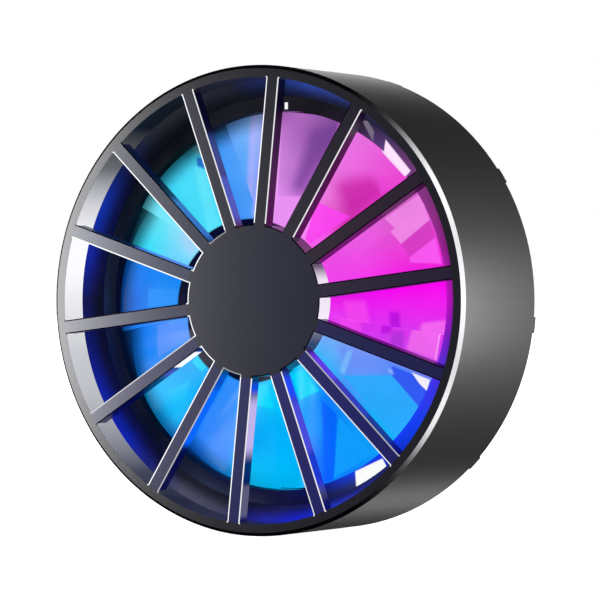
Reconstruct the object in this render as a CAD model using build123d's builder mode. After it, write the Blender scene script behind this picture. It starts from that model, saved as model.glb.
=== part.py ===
from build123d import *
from math import cos, hypot, radians, sin, sqrt
import os

os.makedirs("parts", exist_ok=True)

# Phone cooling fan: a drum that stands on its edge, held by magnets against the back of a phone.
# The origin is the centre of the face that touches the phone. The drum reaches from there along -Y,
# so its grille faces -Y, with X to the right and Z up for someone looking at the grille.
# Heights are measured from the phone towards the grille. All lengths are in millimetres.

# Drum
drum_diameter = 66.0
foot_height = 0.8
shell_wall = 0.9
seat_clearance = 0.05
overrun = 0.2

# Front grille
rim_width = 1.7
rim_bevel = 0.5
spigot_depth = 4.8
spoke_count = 14
spoke_start_angle = 7.06
spoke_width = 1.95
spoke_thickness = 2.0
hub_cap_diameter = 21.3
hub_cap_thickness = 3.1
fan_cover_gap = 3.3
edge_bevel = 0.12

# Rear cover, its feet and its vents
cover_thickness = 1.5
foot_count = 9
foot_start_angle = -160.3
foot_pitch_angle = 38.57
foot_width = 2.3
foot_depth = 1.2
foot_round = 0.25
vent_edge = 1.8
vent_length = 2.6
vent_width = 1.3
vents_per_window = 5
vent_pitch_angle = 5.0

# Magnets and the soft ring over them
soft_ring_land = 1.0
soft_ring_edge = 0.5
magnet_width = 3.8
magnet_thickness = 0.85
magnet_recess = 0.9
magnet_count = 18
magnet_gap = 0.4

# Cold plate and contact pad
cover_opening_land = 1.3
cold_plate_clearance = 0.3
cold_flange_width = 0.8
cold_flange_thickness = 1.0
pad_thickness = 0.6
pad_edge = 0.3

# Thermoelectric module and the foam round it
ceramic_thickness = 0.75
pellet_height = 1.4
pellet_rows = 8
pellet_size = 1.4
pellet_margin = 2.05
gasket_edge = 0.2
gasket_corner_wall = 1.0
gasket_clearance = 0.27

# Heatsink
sink_base_thickness = 1.3
fin_height = 2.9
fin_thickness = 0.7
fin_pitch_angle = 10
lead_lane_angle = 180
fin_start = 1.2
sink_clearance = 0.1
sink_flat_gap = 1.0
motor_boss_height = 1.6

# Light ring, light board and lamps
cone_width = 2.3
cone_drop = 1.8
light_wall = 0.8
light_skirt = 4.9
light_board_thickness = 0.8
light_board_inner_gap = 0.75
light_board_outer_gap = 0.15
lamp_count = 12
lamp_size = 2.0
lamp_height = 0.8

# Fan shroud
lip_gap = 0.05
lip_width = 2.05
lip_drop = 0.2
shroud_wall = 0.8
shroud_sink_gap = 0.4
ledge_width = 1.5
ledge_height = 0.8

# Impeller
tip_clearance = 0.4
blade_count = 9
blade_height = 4.0
blade_thickness = 0.7
blade_root_run = 6.0
blade_tip_run = 19.5
blade_root_camber = 0.5
blade_tip_camber = 0.9
blade_sweep = 3.0
blade_sink_gap = 0.8
rotor_wall = 0.6
rotor_top_wall = 0.8

# Motor: rotor yoke, ring magnet, shaft and bearing
yoke_wall = 0.5
yoke_top = 0.6
ring_magnet_wall = 0.75
ring_magnet_top_gap = 0.1
rotor_board_gap = 0.6
shaft_radius = 0.75
bearing_clearance = 0.03
bearing_radius = 1.9
bearing_tube_radius = 2.8
bearing_end_gap = 0.1
shaft_end_gap = 0.05
groove_depth = 0.15
washer_radius = 1.6
washer_thickness = 0.2
washer_gap = 0.15
thrust_pad_thickness = 0.3
thrust_pad_radius = 1.2
bore_floor = 0.3

# Motor: base, board, stator core and coils
motor_base_thickness = 1.0
motor_board_inset = 0.3
motor_board_thickness = 0.6
motor_chip_length = 2.0
motor_chip_width = 1.0
motor_chip_height = 0.45
motor_chip_inset = 0.8
pole_count = 6
rotor_air_gap = 0.4
core_ring_wall = 0.95
core_height = 2.5
pole_width = 1.2
pole_shoe_wall = 0.6
pole_slot_width = 0.9
coil_board_gap = 0.4
coil_height = 3.7
coil_width = 3.0
coil_length = 1.285
coil_core_gap = 0.05
coil_yoke_gap = 0.4

# Screws
case_screw_head_radius = 1.1
case_screw_head_height = 0.75
case_screw_shank_radius = 0.7
case_screw_shank_length = 7.0
case_screw_counterbore = 0.9
case_boss_radius = 2.0
sink_screw_count = 4
sink_screw_start_angle = 45
sink_screw_head_radius = 1.3
sink_screw_head_height = 1.2
sink_screw_shank_radius = 0.8
sink_screw_shank_length = 4.6
sink_pillar_radius = 1.9
motor_screw_count = 3
motor_screw_edge = 0.9
motor_screw_board_gap = 0.7
motor_screw_head_radius = 0.8
motor_screw_head_height = 0.6
motor_screw_shank_radius = 0.55
motor_screw_shank_length = 2.2
board_screw_head_radius = 1.0
board_screw_head_height = 0.5
board_screw_shank_radius = 0.5
board_screw_shank_length = 1.5
board_pillar_radius = 1.5
board_pillar_height = 1.0
hole_clearance = 0.1
pilot_clearance = 0.02
pilot_extra_depth = 0.3
drive_width = 0.3
drive_length_share = 1.4
drive_depth_share = 0.5

# Control board, its components and the charging socket
socket_width = 8.94
socket_height = 3.26
socket_depth = 7.3
socket_wall = 0.3
socket_back = 1.5
socket_inset = 0.4
socket_opening_gap = 0.3
tongue_width = 6.69
tongue_thickness = 0.7
tongue_length = 4.6
control_board_thickness = 0.8
control_board_gap = 0.6
control_board_margin = 1.2
board_screw_inset = 2.0
board_screw_spread = 13.0
choke_size = 4.0
choke_height = 2.2
choke_inset = 3.2
choke_offset = 8.6
chip_size = 2.4
chip_height = 0.9
chip_inset = 1.5
chip_offset = 9.6
capacitor_length = 1.6
capacitor_width = 0.9
capacitor_height = 0.8
capacitor_inset = 1.6
capacitor_offset = 16.3

# Internal leads
peltier_lead_radius = 0.45
peltier_lead_offset = 1.3
peltier_lead_bite = 1.2
motor_lead_radius = 0.3
motor_lead_offset = 0.4
motor_lead_bend = 0.9
motor_lead_rise = 0.3
light_lead_radius = 0.3
light_lead_inset = 0.8
light_lead_angle = 165.0
light_lead_half_angle = 1.5
lead_hole_clearance = 0.15

# Radii that follow from the drum's diameter, from the outside in
drum_radius = drum_diameter / 2
bore_radius = drum_radius - shell_wall
spigot_radius = bore_radius - seat_clearance
opening_radius = drum_radius - rim_width
cone_radius = opening_radius - cone_width
lip_radius = cone_radius - lip_gap
duct_radius = lip_radius - lip_width
sink_radius = duct_radius - sink_clearance
tip_radius = duct_radius - tip_clearance
vent_outer_radius = drum_radius - vent_edge
vent_inner_radius = vent_outer_radius - vent_length
soft_ring_radius = vent_inner_radius - soft_ring_land
magnet_outer_radius = soft_ring_radius - soft_ring_edge
magnet_inner_radius = magnet_outer_radius - magnet_width
soft_ring_inner_radius = magnet_inner_radius - soft_ring_edge
cover_opening_radius = magnet_inner_radius - cover_opening_land
cold_plate_radius = cover_opening_radius - cold_plate_clearance
cold_flange_radius = cover_opening_radius + cold_flange_width
gasket_radius = cold_flange_radius - gasket_edge
peltier_pocket = sqrt(2) * (gasket_radius - gasket_corner_wall)
peltier_side = peltier_pocket - 2 * gasket_clearance
pellet_pitch = (peltier_side - 2 * pellet_margin - pellet_size) / (pellet_rows - 1)
case_screw_circle = bore_radius - case_boss_radius + overrun / 2
sink_screw_circle = sink_radius - sink_screw_head_radius - overrun

# Radii of the motor, from the bearing's tube outwards
core_bore_radius = bearing_tube_radius + seat_clearance
core_ring_radius = core_bore_radius + core_ring_wall
coil_inner_radius = core_ring_radius + coil_core_gap
coil_outer_radius = coil_inner_radius + coil_length
shoe_inner_radius = hypot(coil_outer_radius, coil_width / 2) + coil_core_gap
core_radius = shoe_inner_radius + pole_shoe_wall
magnet_bore_radius = core_radius + rotor_air_gap
yoke_bore_radius = magnet_bore_radius + ring_magnet_wall
yoke_radius = yoke_bore_radius + seat_clearance + yoke_wall
hub_radius = yoke_radius + seat_clearance + rotor_wall
motor_board_radius = yoke_radius - motor_board_inset
motor_chip_circle = motor_board_radius - motor_chip_inset
motor_screw_circle = motor_board_radius + motor_screw_board_gap + motor_screw_head_radius
motor_base_radius = motor_screw_circle + motor_screw_edge

# Heights that follow from the stack, from the phone to the grille
cover_top = foot_height + cover_thickness
cold_flange_top = cover_top + cold_flange_thickness
pellet_bottom = cold_flange_top + ceramic_thickness
pellet_top = pellet_bottom + pellet_height
peltier_top = pellet_top + ceramic_thickness
sink_base_top = peltier_top + sink_base_thickness
fin_top = sink_base_top + fin_height
motor_boss_top = sink_base_top + motor_boss_height
motor_base_top = motor_boss_top + motor_base_thickness
motor_board_top = motor_base_top + motor_board_thickness
coil_bottom = motor_board_top + coil_board_gap
coil_top = coil_bottom + coil_height
core_bottom = coil_bottom + (coil_height - core_height) / 2
yoke_plate_bottom = coil_top + coil_yoke_gap
yoke_plate_top = yoke_plate_bottom + yoke_top
rotor_bottom = motor_board_top + rotor_board_gap
impeller_top = yoke_plate_top + rotor_top_wall
blade_bottom = fin_top + blade_sink_gap
drum_length = impeller_top + fan_cover_gap + hub_cap_thickness - foot_height
face_height = foot_height + drum_length
seam_height = face_height - rim_bevel
spigot_end = face_height - spigot_depth
cone_end = spigot_end - cone_drop
flange_top = spigot_end - light_skirt
flange_bottom = flange_top - shroud_wall
lip_top = cone_end - lip_drop
light_board_top = flange_top + light_board_thickness
shroud_bottom = fin_top + shroud_sink_gap
bearing_floor = motor_boss_top + bore_floor
thrust_pad_top = bearing_floor + thrust_pad_thickness
shaft_bottom = thrust_pad_top + shaft_end_gap
control_board_bottom = cover_top + board_pillar_height
control_board_top = control_board_bottom + control_board_thickness
socket_mid_height = control_board_top + socket_height / 2

# Places across the drum on the socket's side
socket_mouth = drum_radius - socket_inset
socket_back_face = socket_mouth - socket_depth
control_board_edge = socket_back_face - control_board_margin
sink_flat = control_board_edge - sink_flat_gap
control_board_radius = bore_radius - control_board_gap


def level(height):
    """The plane at a height in front of the phone. It faces the grille, with X right and Z up."""
    return Plane.XZ.offset(height)


def polar_point(radius, angle):
    """A place on a level, by its radius and its angle from +X towards +Z."""
    return (radius * cos(radians(angle)), radius * sin(radians(angle)))


def ring(low, high, outer, inner=0, mode=Mode.ADD):
    """A disc, or a ring with a round hole, between two heights."""
    with BuildSketch(level(low)) as outline:
        Circle(outer)
        if inner > 0:
            Circle(inner, mode=Mode.SUBTRACT)
    extrude(outline.sketch, amount=high - low, mode=mode)


def pegs(low, high, radius, places, mode=Mode.ADD):
    """Round pegs or holes between two heights, one at each place."""
    with BuildSketch(level(low)) as outline:
        with Locations(*places):
            Circle(radius)
    extrude(outline.sketch, amount=high - low, mode=mode)


def blocks(low, high, length, width, places):
    """Rectangular blocks between two heights, one at each place."""
    with BuildSketch(level(low)) as outline:
        with Locations(*places):
            Rectangle(length, width)
    extrude(outline.sketch, amount=high - low)


def screws(seat, places, head_radius, head_height, shank_radius, shank_length, facing=1):
    """Cross-head screws seated at one height. Facing 1 has the heads to the grille, -1 to the phone."""
    head_end = seat + facing * head_height
    drive_length = head_radius * drive_length_share
    drive_floor = head_end - facing * head_height * drive_depth_share
    pegs(seat, head_end, head_radius, places)
    pegs(seat - facing * shank_length, seat, shank_radius, places)
    with BuildSketch(level(drive_floor)) as drive:
        with Locations(*places):
            Rectangle(drive_length, drive_width)
            Rectangle(drive_width, drive_length)
    extrude(drive.sketch, amount=head_end - drive_floor + facing * overrun, mode=Mode.SUBTRACT)


def finish(part, name):
    """Labels a finished piece and writes it to its own file."""
    part.label = name
    export_step(part, f"parts/{name}.step")


# The section plane holds the profiles of turned pieces: local x is the radius, local y the height
section = Plane(origin=(0, 0, 0), x_dir=(1, 0, 0), z_dir=(0, 0, -1))

foot_angles = [foot_start_angle + k * foot_pitch_angle for k in range(foot_count)]
window_angles = [angle + foot_pitch_angle / 2 for angle in foot_angles[:-1]]
vent_angles = [
    window + (k - (vents_per_window - 1) / 2) * vent_pitch_angle
    for window in window_angles
    for k in range(vents_per_window)
]
case_screw_places = [polar_point(case_screw_circle, angle) for angle in foot_angles[1::2]]
sink_screw_places = [
    polar_point(sink_screw_circle, sink_screw_start_angle + 360 * k / sink_screw_count)
    for k in range(sink_screw_count)
]
motor_screw_places = [
    polar_point(motor_screw_circle, 90 + 360 * k / motor_screw_count)
    for k in range(motor_screw_count)
]
board_screw_places = [
    (-control_board_edge - board_screw_inset, board_screw_spread),
    (-control_board_edge - board_screw_inset, -board_screw_spread),
]
light_lead_radius_place = lip_radius - light_board_inner_gap + light_lead_inset
light_lead_places = [
    polar_point(light_lead_radius_place, light_lead_angle + side * light_lead_half_angle)
    for side in (-1, 1)
]

# Front grille: bevelled rim with a spigot that fits in the shell, 14 spokes and the round hub cap
with BuildPart() as front_grille:
    with BuildSketch(section):
        with BuildLine():
            Polyline(
                (opening_radius, spigot_end),
                (spigot_radius, spigot_end),
                (spigot_radius, seam_height),
                (drum_radius, seam_height),
                (drum_radius - rim_bevel, face_height),
                (opening_radius, face_height),
                close=True,
            )
        make_face()
    revolve(axis=Axis.Y)
    with BuildSketch(level(face_height)):
        with PolarLocations(0, spoke_count, start_angle=spoke_start_angle):
            Rectangle(opening_radius + overrun, spoke_width, align=(Align.MIN, Align.CENTER))
    extrude(amount=-spoke_thickness)
    with BuildSketch(level(face_height)):
        Circle(hub_cap_diameter / 2)
    extrude(amount=-hub_cap_thickness)
    front_face = front_grille.faces().sort_by(Axis.Y)[0]
    chamfer([edge for wire in front_face.inner_wires() for edge in wire.edges()], edge_bevel)
finish(front_grille.part, "front_grille")

# Drum shell: plain tube with a ledge for the shroud, four screw bosses and the socket's opening
with BuildPart() as drum_shell:
    ring(cover_top, seam_height, drum_radius, bore_radius)
    ring(flange_bottom - ledge_height, flange_bottom, bore_radius + overrun, bore_radius - ledge_width)
    pegs(cover_top, flange_bottom, case_boss_radius, case_screw_places)
    pegs(
        cover_top,
        cover_top + case_screw_shank_length,
        case_screw_shank_radius + pilot_clearance,
        case_screw_places,
        mode=Mode.SUBTRACT,
    )
    with BuildSketch(Plane.YZ.offset(-drum_radius - overrun)):
        with Locations((-socket_mid_height, 0)):
            RectangleRounded(
                socket_height + 2 * socket_opening_gap,
                socket_width + 2 * socket_opening_gap,
                socket_height / 2,
            )
    extrude(amount=shell_wall + socket_inset + 2 * overrun, mode=Mode.SUBTRACT)
finish(drum_shell.part, "drum_shell")

# Rear cover: plate with nine feet, exhaust vents, magnet recess, screw holes and inner pillars
with BuildPart() as rear_cover:
    ring(foot_height, cover_top, drum_radius, cover_opening_radius)
    with BuildSketch(level(0)):
        for angle in foot_angles:
            with Locations(polar_point(drum_radius - foot_depth / 2, angle)):
                Rectangle(foot_depth + overrun, foot_width, rotation=angle)
        Circle(drum_radius, mode=Mode.INTERSECT)
    extrude(amount=foot_height + overrun)
    fillet(rear_cover.faces().group_by(Axis.Y)[-1].edges(), foot_round)
    with BuildSketch(level(foot_height - overrun)):
        for angle in vent_angles:
            with Locations(polar_point((vent_outer_radius + vent_inner_radius) / 2, angle)):
                SlotOverall(vent_length, vent_width, rotation=angle)
    extrude(amount=cover_thickness + 2 * overrun, mode=Mode.SUBTRACT)
    ring(
        foot_height - overrun,
        foot_height + magnet_recess,
        magnet_outer_radius + seat_clearance,
        magnet_inner_radius - seat_clearance,
        mode=Mode.SUBTRACT,
    )
    pegs(
        foot_height - overrun,
        foot_height + case_screw_counterbore,
        case_screw_head_radius + hole_clearance,
        case_screw_places,
        mode=Mode.SUBTRACT,
    )
    pegs(
        foot_height,
        cover_top + overrun,
        case_screw_shank_radius + hole_clearance,
        case_screw_places,
        mode=Mode.SUBTRACT,
    )
    pegs(cover_top - overrun, peltier_top, sink_pillar_radius, sink_screw_places)
    pegs(
        sink_base_top - sink_screw_shank_length - pilot_extra_depth,
        peltier_top + overrun,
        sink_screw_shank_radius + pilot_clearance,
        sink_screw_places,
        mode=Mode.SUBTRACT,
    )
    pegs(cover_top - overrun, control_board_bottom, board_pillar_radius, board_screw_places)
    pegs(
        control_board_top - board_screw_shank_length - pilot_extra_depth,
        control_board_bottom + overrun,
        board_screw_shank_radius + pilot_clearance,
        board_screw_places,
        mode=Mode.SUBTRACT,
    )
finish(rear_cover.part, "rear_cover")

# Case screws: from the back, through the rear cover, into the shell's bosses
with BuildPart() as case_screws:
    screws(
        foot_height + case_screw_counterbore,
        case_screw_places,
        case_screw_head_radius,
        case_screw_head_height,
        case_screw_shank_radius,
        case_screw_shank_length,
        facing=-1,
    )
finish(case_screws.part, "case_screws")

# Magnets: a ring of arc magnets that holds the cooler on the phone
with BuildPart() as holding_magnets:
    with BuildSketch(level(foot_height)):
        Circle(magnet_outer_radius)
        Circle(magnet_inner_radius, mode=Mode.SUBTRACT)
        with PolarLocations(0, magnet_count):
            Rectangle(
                magnet_outer_radius + overrun,
                magnet_gap,
                align=(Align.MIN, Align.CENTER),
                mode=Mode.SUBTRACT,
            )
    extrude(amount=magnet_thickness)
finish(holding_magnets.part, "holding_magnets")

# Soft ring: silicone over the magnets, level with the contact pad
with BuildPart() as soft_ring:
    ring(0, foot_height, soft_ring_radius, soft_ring_inner_radius)
finish(soft_ring.part, "soft_ring")

# Contact pad: soft thermal pad that touches the phone
with BuildPart() as contact_pad:
    ring(0, pad_thickness, cold_plate_radius - pad_edge)
finish(contact_pad.part, "contact_pad")

# Cold plate: aluminium disc in the cover's opening, held by a flange behind it
with BuildPart() as cold_plate:
    ring(pad_thickness, cover_top, cold_plate_radius)
    ring(cover_top, cold_flange_top, cold_flange_radius)
finish(cold_plate.part, "cold_plate")

# Thermoelectric module: two ceramic plates with rows of pellets between them
with BuildPart() as peltier_cold_ceramic:
    blocks(cold_flange_top, pellet_bottom, peltier_side, peltier_side, [(0, 0)])
finish(peltier_cold_ceramic.part, "peltier_cold_ceramic")

with BuildPart() as peltier_hot_ceramic:
    blocks(pellet_top, peltier_top, peltier_side, peltier_side, [(0, 0)])
finish(peltier_hot_ceramic.part, "peltier_hot_ceramic")

with BuildPart() as peltier_pellets:
    with BuildSketch(level(pellet_bottom)):
        with GridLocations(pellet_pitch, pellet_pitch, pellet_rows, pellet_rows):
            Rectangle(pellet_size, pellet_size)
    extrude(amount=pellet_height)
finish(peltier_pellets.part, "peltier_pellets")

# Peltier leads: two straight wires from the module to the control board
lead_start = -peltier_side / 2 + peltier_lead_bite
lead_end = -control_board_edge - control_board_margin / 2
with BuildPart() as peltier_leads:
    with BuildSketch(Plane.YZ.offset(lead_end)):
        with Locations(
            (-control_board_top - peltier_lead_radius, peltier_lead_offset),
            (-control_board_top - peltier_lead_radius, -peltier_lead_offset),
        ):
            Circle(peltier_lead_radius)
    extrude(amount=lead_start - lead_end)
finish(peltier_leads.part, "peltier_leads")

# Foam gasket: keeps the cold side apart from the warm air, with a notch for the leads
with BuildPart() as foam_gasket:
    ring(cold_flange_top, peltier_top, gasket_radius)
    with BuildSketch(level(cold_flange_top)):
        Rectangle(peltier_pocket, peltier_pocket)
        Rectangle(
            gasket_radius + overrun,
            2 * (peltier_lead_offset + peltier_lead_radius + gasket_clearance),
            align=(Align.MAX, Align.CENTER),
        )
    extrude(amount=peltier_top - cold_flange_top, mode=Mode.SUBTRACT)
finish(foam_gasket.part, "foam_gasket")

# Heatsink: round base with radial fins, a centre boss for the motor and a flat beside the board
fin_inner_radius = motor_base_radius + fin_start
fin_length = sink_radius - overrun - fin_inner_radius
with BuildPart() as heatsink:
    ring(peltier_top, sink_base_top, sink_radius)
    with BuildSketch(level(sink_base_top)):
        for angle in range(0, 360, fin_pitch_angle):
            if angle != lead_lane_angle:
                with Locations(polar_point(fin_inner_radius + fin_length / 2, angle)):
                    Rectangle(fin_length, fin_thickness, rotation=angle)
    extrude(amount=fin_height)
    ring(sink_base_top, motor_boss_top, motor_base_radius)
    pegs(
        peltier_top - overrun,
        sink_base_top + overrun,
        sink_screw_shank_radius + hole_clearance,
        sink_screw_places,
        mode=Mode.SUBTRACT,
    )
    pegs(
        motor_base_top - motor_screw_shank_length - pilot_extra_depth / 2,
        motor_boss_top + overrun,
        motor_screw_shank_radius + pilot_clearance,
        motor_screw_places,
        mode=Mode.SUBTRACT,
    )
    with BuildSketch(level(peltier_top - overrun)):
        with Locations((-sink_flat, 0)):
            Rectangle(drum_radius, drum_diameter, align=(Align.MAX, Align.CENTER))
    extrude(amount=fin_top - peltier_top + 2 * overrun, mode=Mode.SUBTRACT)
finish(heatsink.part, "heatsink")

# Heatsink screws: clamp the heatsink, module and cold plate to the rear cover
with BuildPart() as heatsink_screws:
    screws(
        sink_base_top,
        sink_screw_places,
        sink_screw_head_radius,
        sink_screw_head_height,
        sink_screw_shank_radius,
        sink_screw_shank_length,
    )
finish(heatsink_screws.part, "heatsink_screws")

# Light ring: frosted cone under the grille's opening, with a skirt that stands on the shroud
with BuildPart() as light_ring:
    with BuildSketch(section):
        with BuildLine():
            Polyline(
                (spigot_radius, spigot_end),
                (opening_radius, spigot_end),
                (cone_radius, cone_end),
                (cone_radius, cone_end - light_wall),
                (spigot_radius - light_wall, spigot_end - light_wall),
                (spigot_radius - light_wall, flange_top),
                (spigot_radius, flange_top),
                close=True,
            )
        make_face()
    revolve(axis=Axis.Y)
finish(light_ring.part, "light_ring")

# Light board: ring-shaped circuit board on the shroud's flange
light_board_inner = lip_radius - light_board_inner_gap
light_board_outer = spigot_radius - light_wall - light_board_outer_gap
with BuildPart() as light_board:
    ring(flange_top, light_board_top, light_board_outer, light_board_inner)
finish(light_board.part, "light_board")

# Lamps: twelve colour-changing diodes on the light board
with BuildPart() as lamps:
    with BuildSketch(level(light_board_top)):
        with PolarLocations((light_board_inner + light_board_outer) / 2, lamp_count, start_angle=15):
            Rectangle(lamp_size, lamp_size)
    extrude(amount=lamp_height)
finish(lamps.part, "lamps")

# Fan shroud: dark lip, duct wall round the blades, and a flange on the shell's ledge
with BuildPart() as fan_shroud:
    ring(shroud_bottom, lip_top, duct_radius + shroud_wall, duct_radius)
    ring(lip_top - shroud_wall, lip_top, lip_radius, duct_radius)
    ring(flange_bottom, flange_top, spigot_radius, duct_radius + shroud_wall / 2)
    pegs(
        flange_bottom - overrun,
        flange_top + overrun,
        light_lead_radius + lead_hole_clearance,
        light_lead_places,
        mode=Mode.SUBTRACT,
    )
finish(fan_shroud.part, "fan_shroud")

# Light leads: two wires from the light board down to the control board
with BuildPart() as light_leads:
    pegs(control_board_top, flange_top, light_lead_radius, light_lead_places)
finish(light_leads.part, "light_leads")


def blade_section(angle, radius, run, camber, sweep):
    """The cambered outline of one blade, square to the radius at one place along it."""
    radial = (cos(radians(angle)), 0, sin(radians(angle)))
    tangent = (-sin(radians(angle)), 0, cos(radians(angle)))
    mid_height = blade_bottom + blade_height / 2
    origin = (radius * radial[0], -mid_height, radius * radial[2])
    rise = blade_height - blade_thickness
    length = hypot(run, rise)
    normal = (-rise / length, run / length)
    front = (sweep + run / 2, rise / 2)
    back = (sweep - run / 2, -rise / 2)

    def beside(point, distance):
        return (point[0] + normal[0] * distance, point[1] + normal[1] * distance)

    half = blade_thickness / 2
    crest = beside((sweep, 0), camber + half)
    hollow = beside((sweep, 0), camber - half)
    with BuildSketch(Plane(origin=origin, x_dir=tangent, z_dir=radial)) as outline:
        with BuildLine():
            upper = ThreePointArc(beside(front, half), crest, beside(back, half))
            lower = ThreePointArc(beside(back, -half), hollow, beside(front, -half))
            Line(upper @ 1, lower @ 0)
            Line(lower @ 1, upper @ 0)
        make_face()
    return outline.sketch


# Impeller: translucent cup over the rotor with nine wide cambered blades
blade_root_radius = hub_radius - rotor_wall / 2
blade_outer_radius = tip_radius + rotor_wall
with BuildPart() as impeller:
    for k in range(blade_count):
        blade_angle = 360 * k / blade_count
        root = blade_section(
            blade_angle, blade_root_radius, blade_root_run, blade_root_camber, 0
        )
        tip = blade_section(
            blade_angle, blade_outer_radius, blade_tip_run, blade_tip_camber, blade_sweep
        )
        loft([root, tip])
    ring(rotor_bottom, impeller_top, tip_radius, mode=Mode.INTERSECT)
    ring(rotor_bottom, impeller_top, hub_radius)
    ring(
        rotor_bottom - overrun,
        yoke_plate_top,
        yoke_radius + seat_clearance,
        mode=Mode.SUBTRACT,
    )
    top_rim = impeller.faces().sort_by(Axis.Y)[0].edges()
    fillet(top_rim, rotor_wall)
finish(impeller.part, "impeller")

# Rotor yoke: steel cup pressed into the impeller
with BuildPart() as rotor_yoke:
    ring(rotor_bottom, yoke_plate_top, yoke_radius)
    ring(rotor_bottom, yoke_plate_bottom, yoke_radius - yoke_wall, mode=Mode.SUBTRACT)
    ring(yoke_plate_bottom, yoke_plate_top, shaft_radius + pilot_clearance, mode=Mode.SUBTRACT)
finish(rotor_yoke.part, "rotor_yoke")

# Ring magnet: bonded inside the yoke
with BuildPart() as ring_magnet:
    ring(
        rotor_bottom,
        yoke_plate_bottom - ring_magnet_top_gap,
        yoke_bore_radius,
        magnet_bore_radius,
    )
finish(ring_magnet.part, "ring_magnet")

# Bearing: sintered sleeve in the motor base's tube
bearing_tube_top = coil_top
bearing_top = bearing_tube_top - bearing_end_gap
washer_bottom = shaft_bottom + washer_thickness + pilot_extra_depth / 2
bearing_bottom = washer_bottom + washer_thickness + washer_gap
with BuildPart() as sleeve_bearing:
    ring(bearing_bottom, bearing_top, bearing_radius, shaft_radius + bearing_clearance)
finish(sleeve_bearing.part, "sleeve_bearing")

# Shaft: steel pin with a groove for the retaining washer
with BuildPart() as shaft:
    ring(shaft_bottom, yoke_plate_top, shaft_radius)
    ring(
        washer_bottom - seat_clearance,
        washer_bottom + washer_thickness + seat_clearance,
        shaft_radius + overrun,
        shaft_radius - groove_depth,
        mode=Mode.SUBTRACT,
    )
finish(shaft.part, "shaft")

# Retaining washer: slit ring in the shaft's groove, below the bearing
with BuildPart() as retaining_washer:
    with BuildSketch(level(washer_bottom)):
        Circle(washer_radius)
        Circle(shaft_radius - groove_depth + pilot_clearance, mode=Mode.SUBTRACT)
        Rectangle(
            washer_radius + overrun,
            shaft_radius,
            align=(Align.MIN, Align.CENTER),
            mode=Mode.SUBTRACT,
        )
    extrude(amount=washer_thickness)
finish(retaining_washer.part, "retaining_washer")

# Thrust pad: hard plastic disc under the shaft's end
with BuildPart() as thrust_pad:
    ring(bearing_floor, thrust_pad_top, thrust_pad_radius)
finish(thrust_pad.part, "thrust_pad")

# Motor base: disc on the heatsink's boss with the tube that holds the bearing and the stator
with BuildPart() as motor_base:
    ring(motor_boss_top, motor_base_top, motor_base_radius)
    ring(motor_base_top, bearing_tube_top, bearing_tube_radius)
    ring(
        bearing_floor,
        bearing_tube_top + overrun,
        bearing_radius + seat_clearance,
        mode=Mode.SUBTRACT,
    )
    pegs(
        motor_boss_top - overrun,
        motor_base_top + overrun,
        motor_screw_shank_radius + hole_clearance,
        motor_screw_places,
        mode=Mode.SUBTRACT,
    )
finish(motor_base.part, "motor_base")

# Motor screws: hold the motor base on the heatsink
with BuildPart() as motor_screws:
    screws(
        motor_base_top,
        motor_screw_places,
        motor_screw_head_radius,
        motor_screw_head_height,
        motor_screw_shank_radius,
        motor_screw_shank_length,
    )
finish(motor_screws.part, "motor_screws")

# Motor board: small round board under the stator with its driver chips
with BuildPart() as motor_board:
    ring(motor_base_top, motor_board_top, motor_board_radius, bearing_tube_radius + seat_clearance)
    with BuildSketch(level(motor_board_top)):
        with PolarLocations(motor_chip_circle, 2, start_angle=90):
            Rectangle(motor_chip_width, motor_chip_length)
    extrude(amount=motor_chip_height)
finish(motor_board.part, "motor_board")

# Stator core: stacked steel with six poles
with BuildPart() as stator_core:
    with BuildSketch(level(core_bottom)):
        Circle(core_radius)
        Circle(shoe_inner_radius, mode=Mode.SUBTRACT)
        with PolarLocations(0, pole_count, start_angle=180 / pole_count):
            Rectangle(
                core_radius + overrun,
                pole_slot_width,
                align=(Align.MIN, Align.CENTER),
                mode=Mode.SUBTRACT,
            )
        with PolarLocations(0, pole_count):
            Rectangle(
                core_radius - pole_shoe_wall / 2,
                pole_width,
                align=(Align.MIN, Align.CENTER),
            )
        Circle(core_ring_radius)
        Circle(core_bore_radius, mode=Mode.SUBTRACT)
    extrude(amount=core_height)
finish(stator_core.part, "stator_core")

# Stator coils: one winding on each pole
coil_middle_radius = (coil_outer_radius + coil_inner_radius) / 2
with BuildPart() as stator_coils:
    with BuildSketch(level(coil_bottom)):
        with PolarLocations(coil_middle_radius, pole_count):
            Rectangle(coil_length, coil_width)
    extrude(amount=coil_height)
    with BuildSketch(level(core_bottom - coil_core_gap)):
        with PolarLocations(coil_middle_radius, pole_count):
            Rectangle(coil_length + 2 * overrun, pole_width + 2 * coil_core_gap)
    extrude(amount=core_height + 2 * coil_core_gap, mode=Mode.SUBTRACT)
finish(stator_coils.part, "stator_coils")

# Motor leads: from the motor board, along the gap left between two fins, to the control board
lead_high = motor_base_top + motor_lead_radius
lead_low = sink_base_top + motor_lead_radius + motor_lead_rise
lead_corner = fin_inner_radius
lead_drop = -control_board_edge - control_board_margin / 2
with BuildPart() as motor_leads:
    for side in (-1, 1):
        lane = Plane(origin=(0, 0, side * motor_lead_offset), x_dir=(1, 0, 0), z_dir=(0, 0, 1))
        with BuildLine(lane) as route:
            FilletPolyline(
                (-motor_board_radius - seat_clearance, -lead_high),
                (-lead_corner, -lead_high),
                (-lead_corner - (lead_high - lead_low), -lead_low),
                (lead_drop, -lead_low),
                (lead_drop, -control_board_top),
                radius=motor_lead_bend,
            )
        with BuildSketch(Plane(origin=route.line @ 0, z_dir=route.line % 0)) as wire:
            Circle(motor_lead_radius)
        sweep(wire.sketch, path=route.line)
finish(motor_leads.part, "motor_leads")

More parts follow.
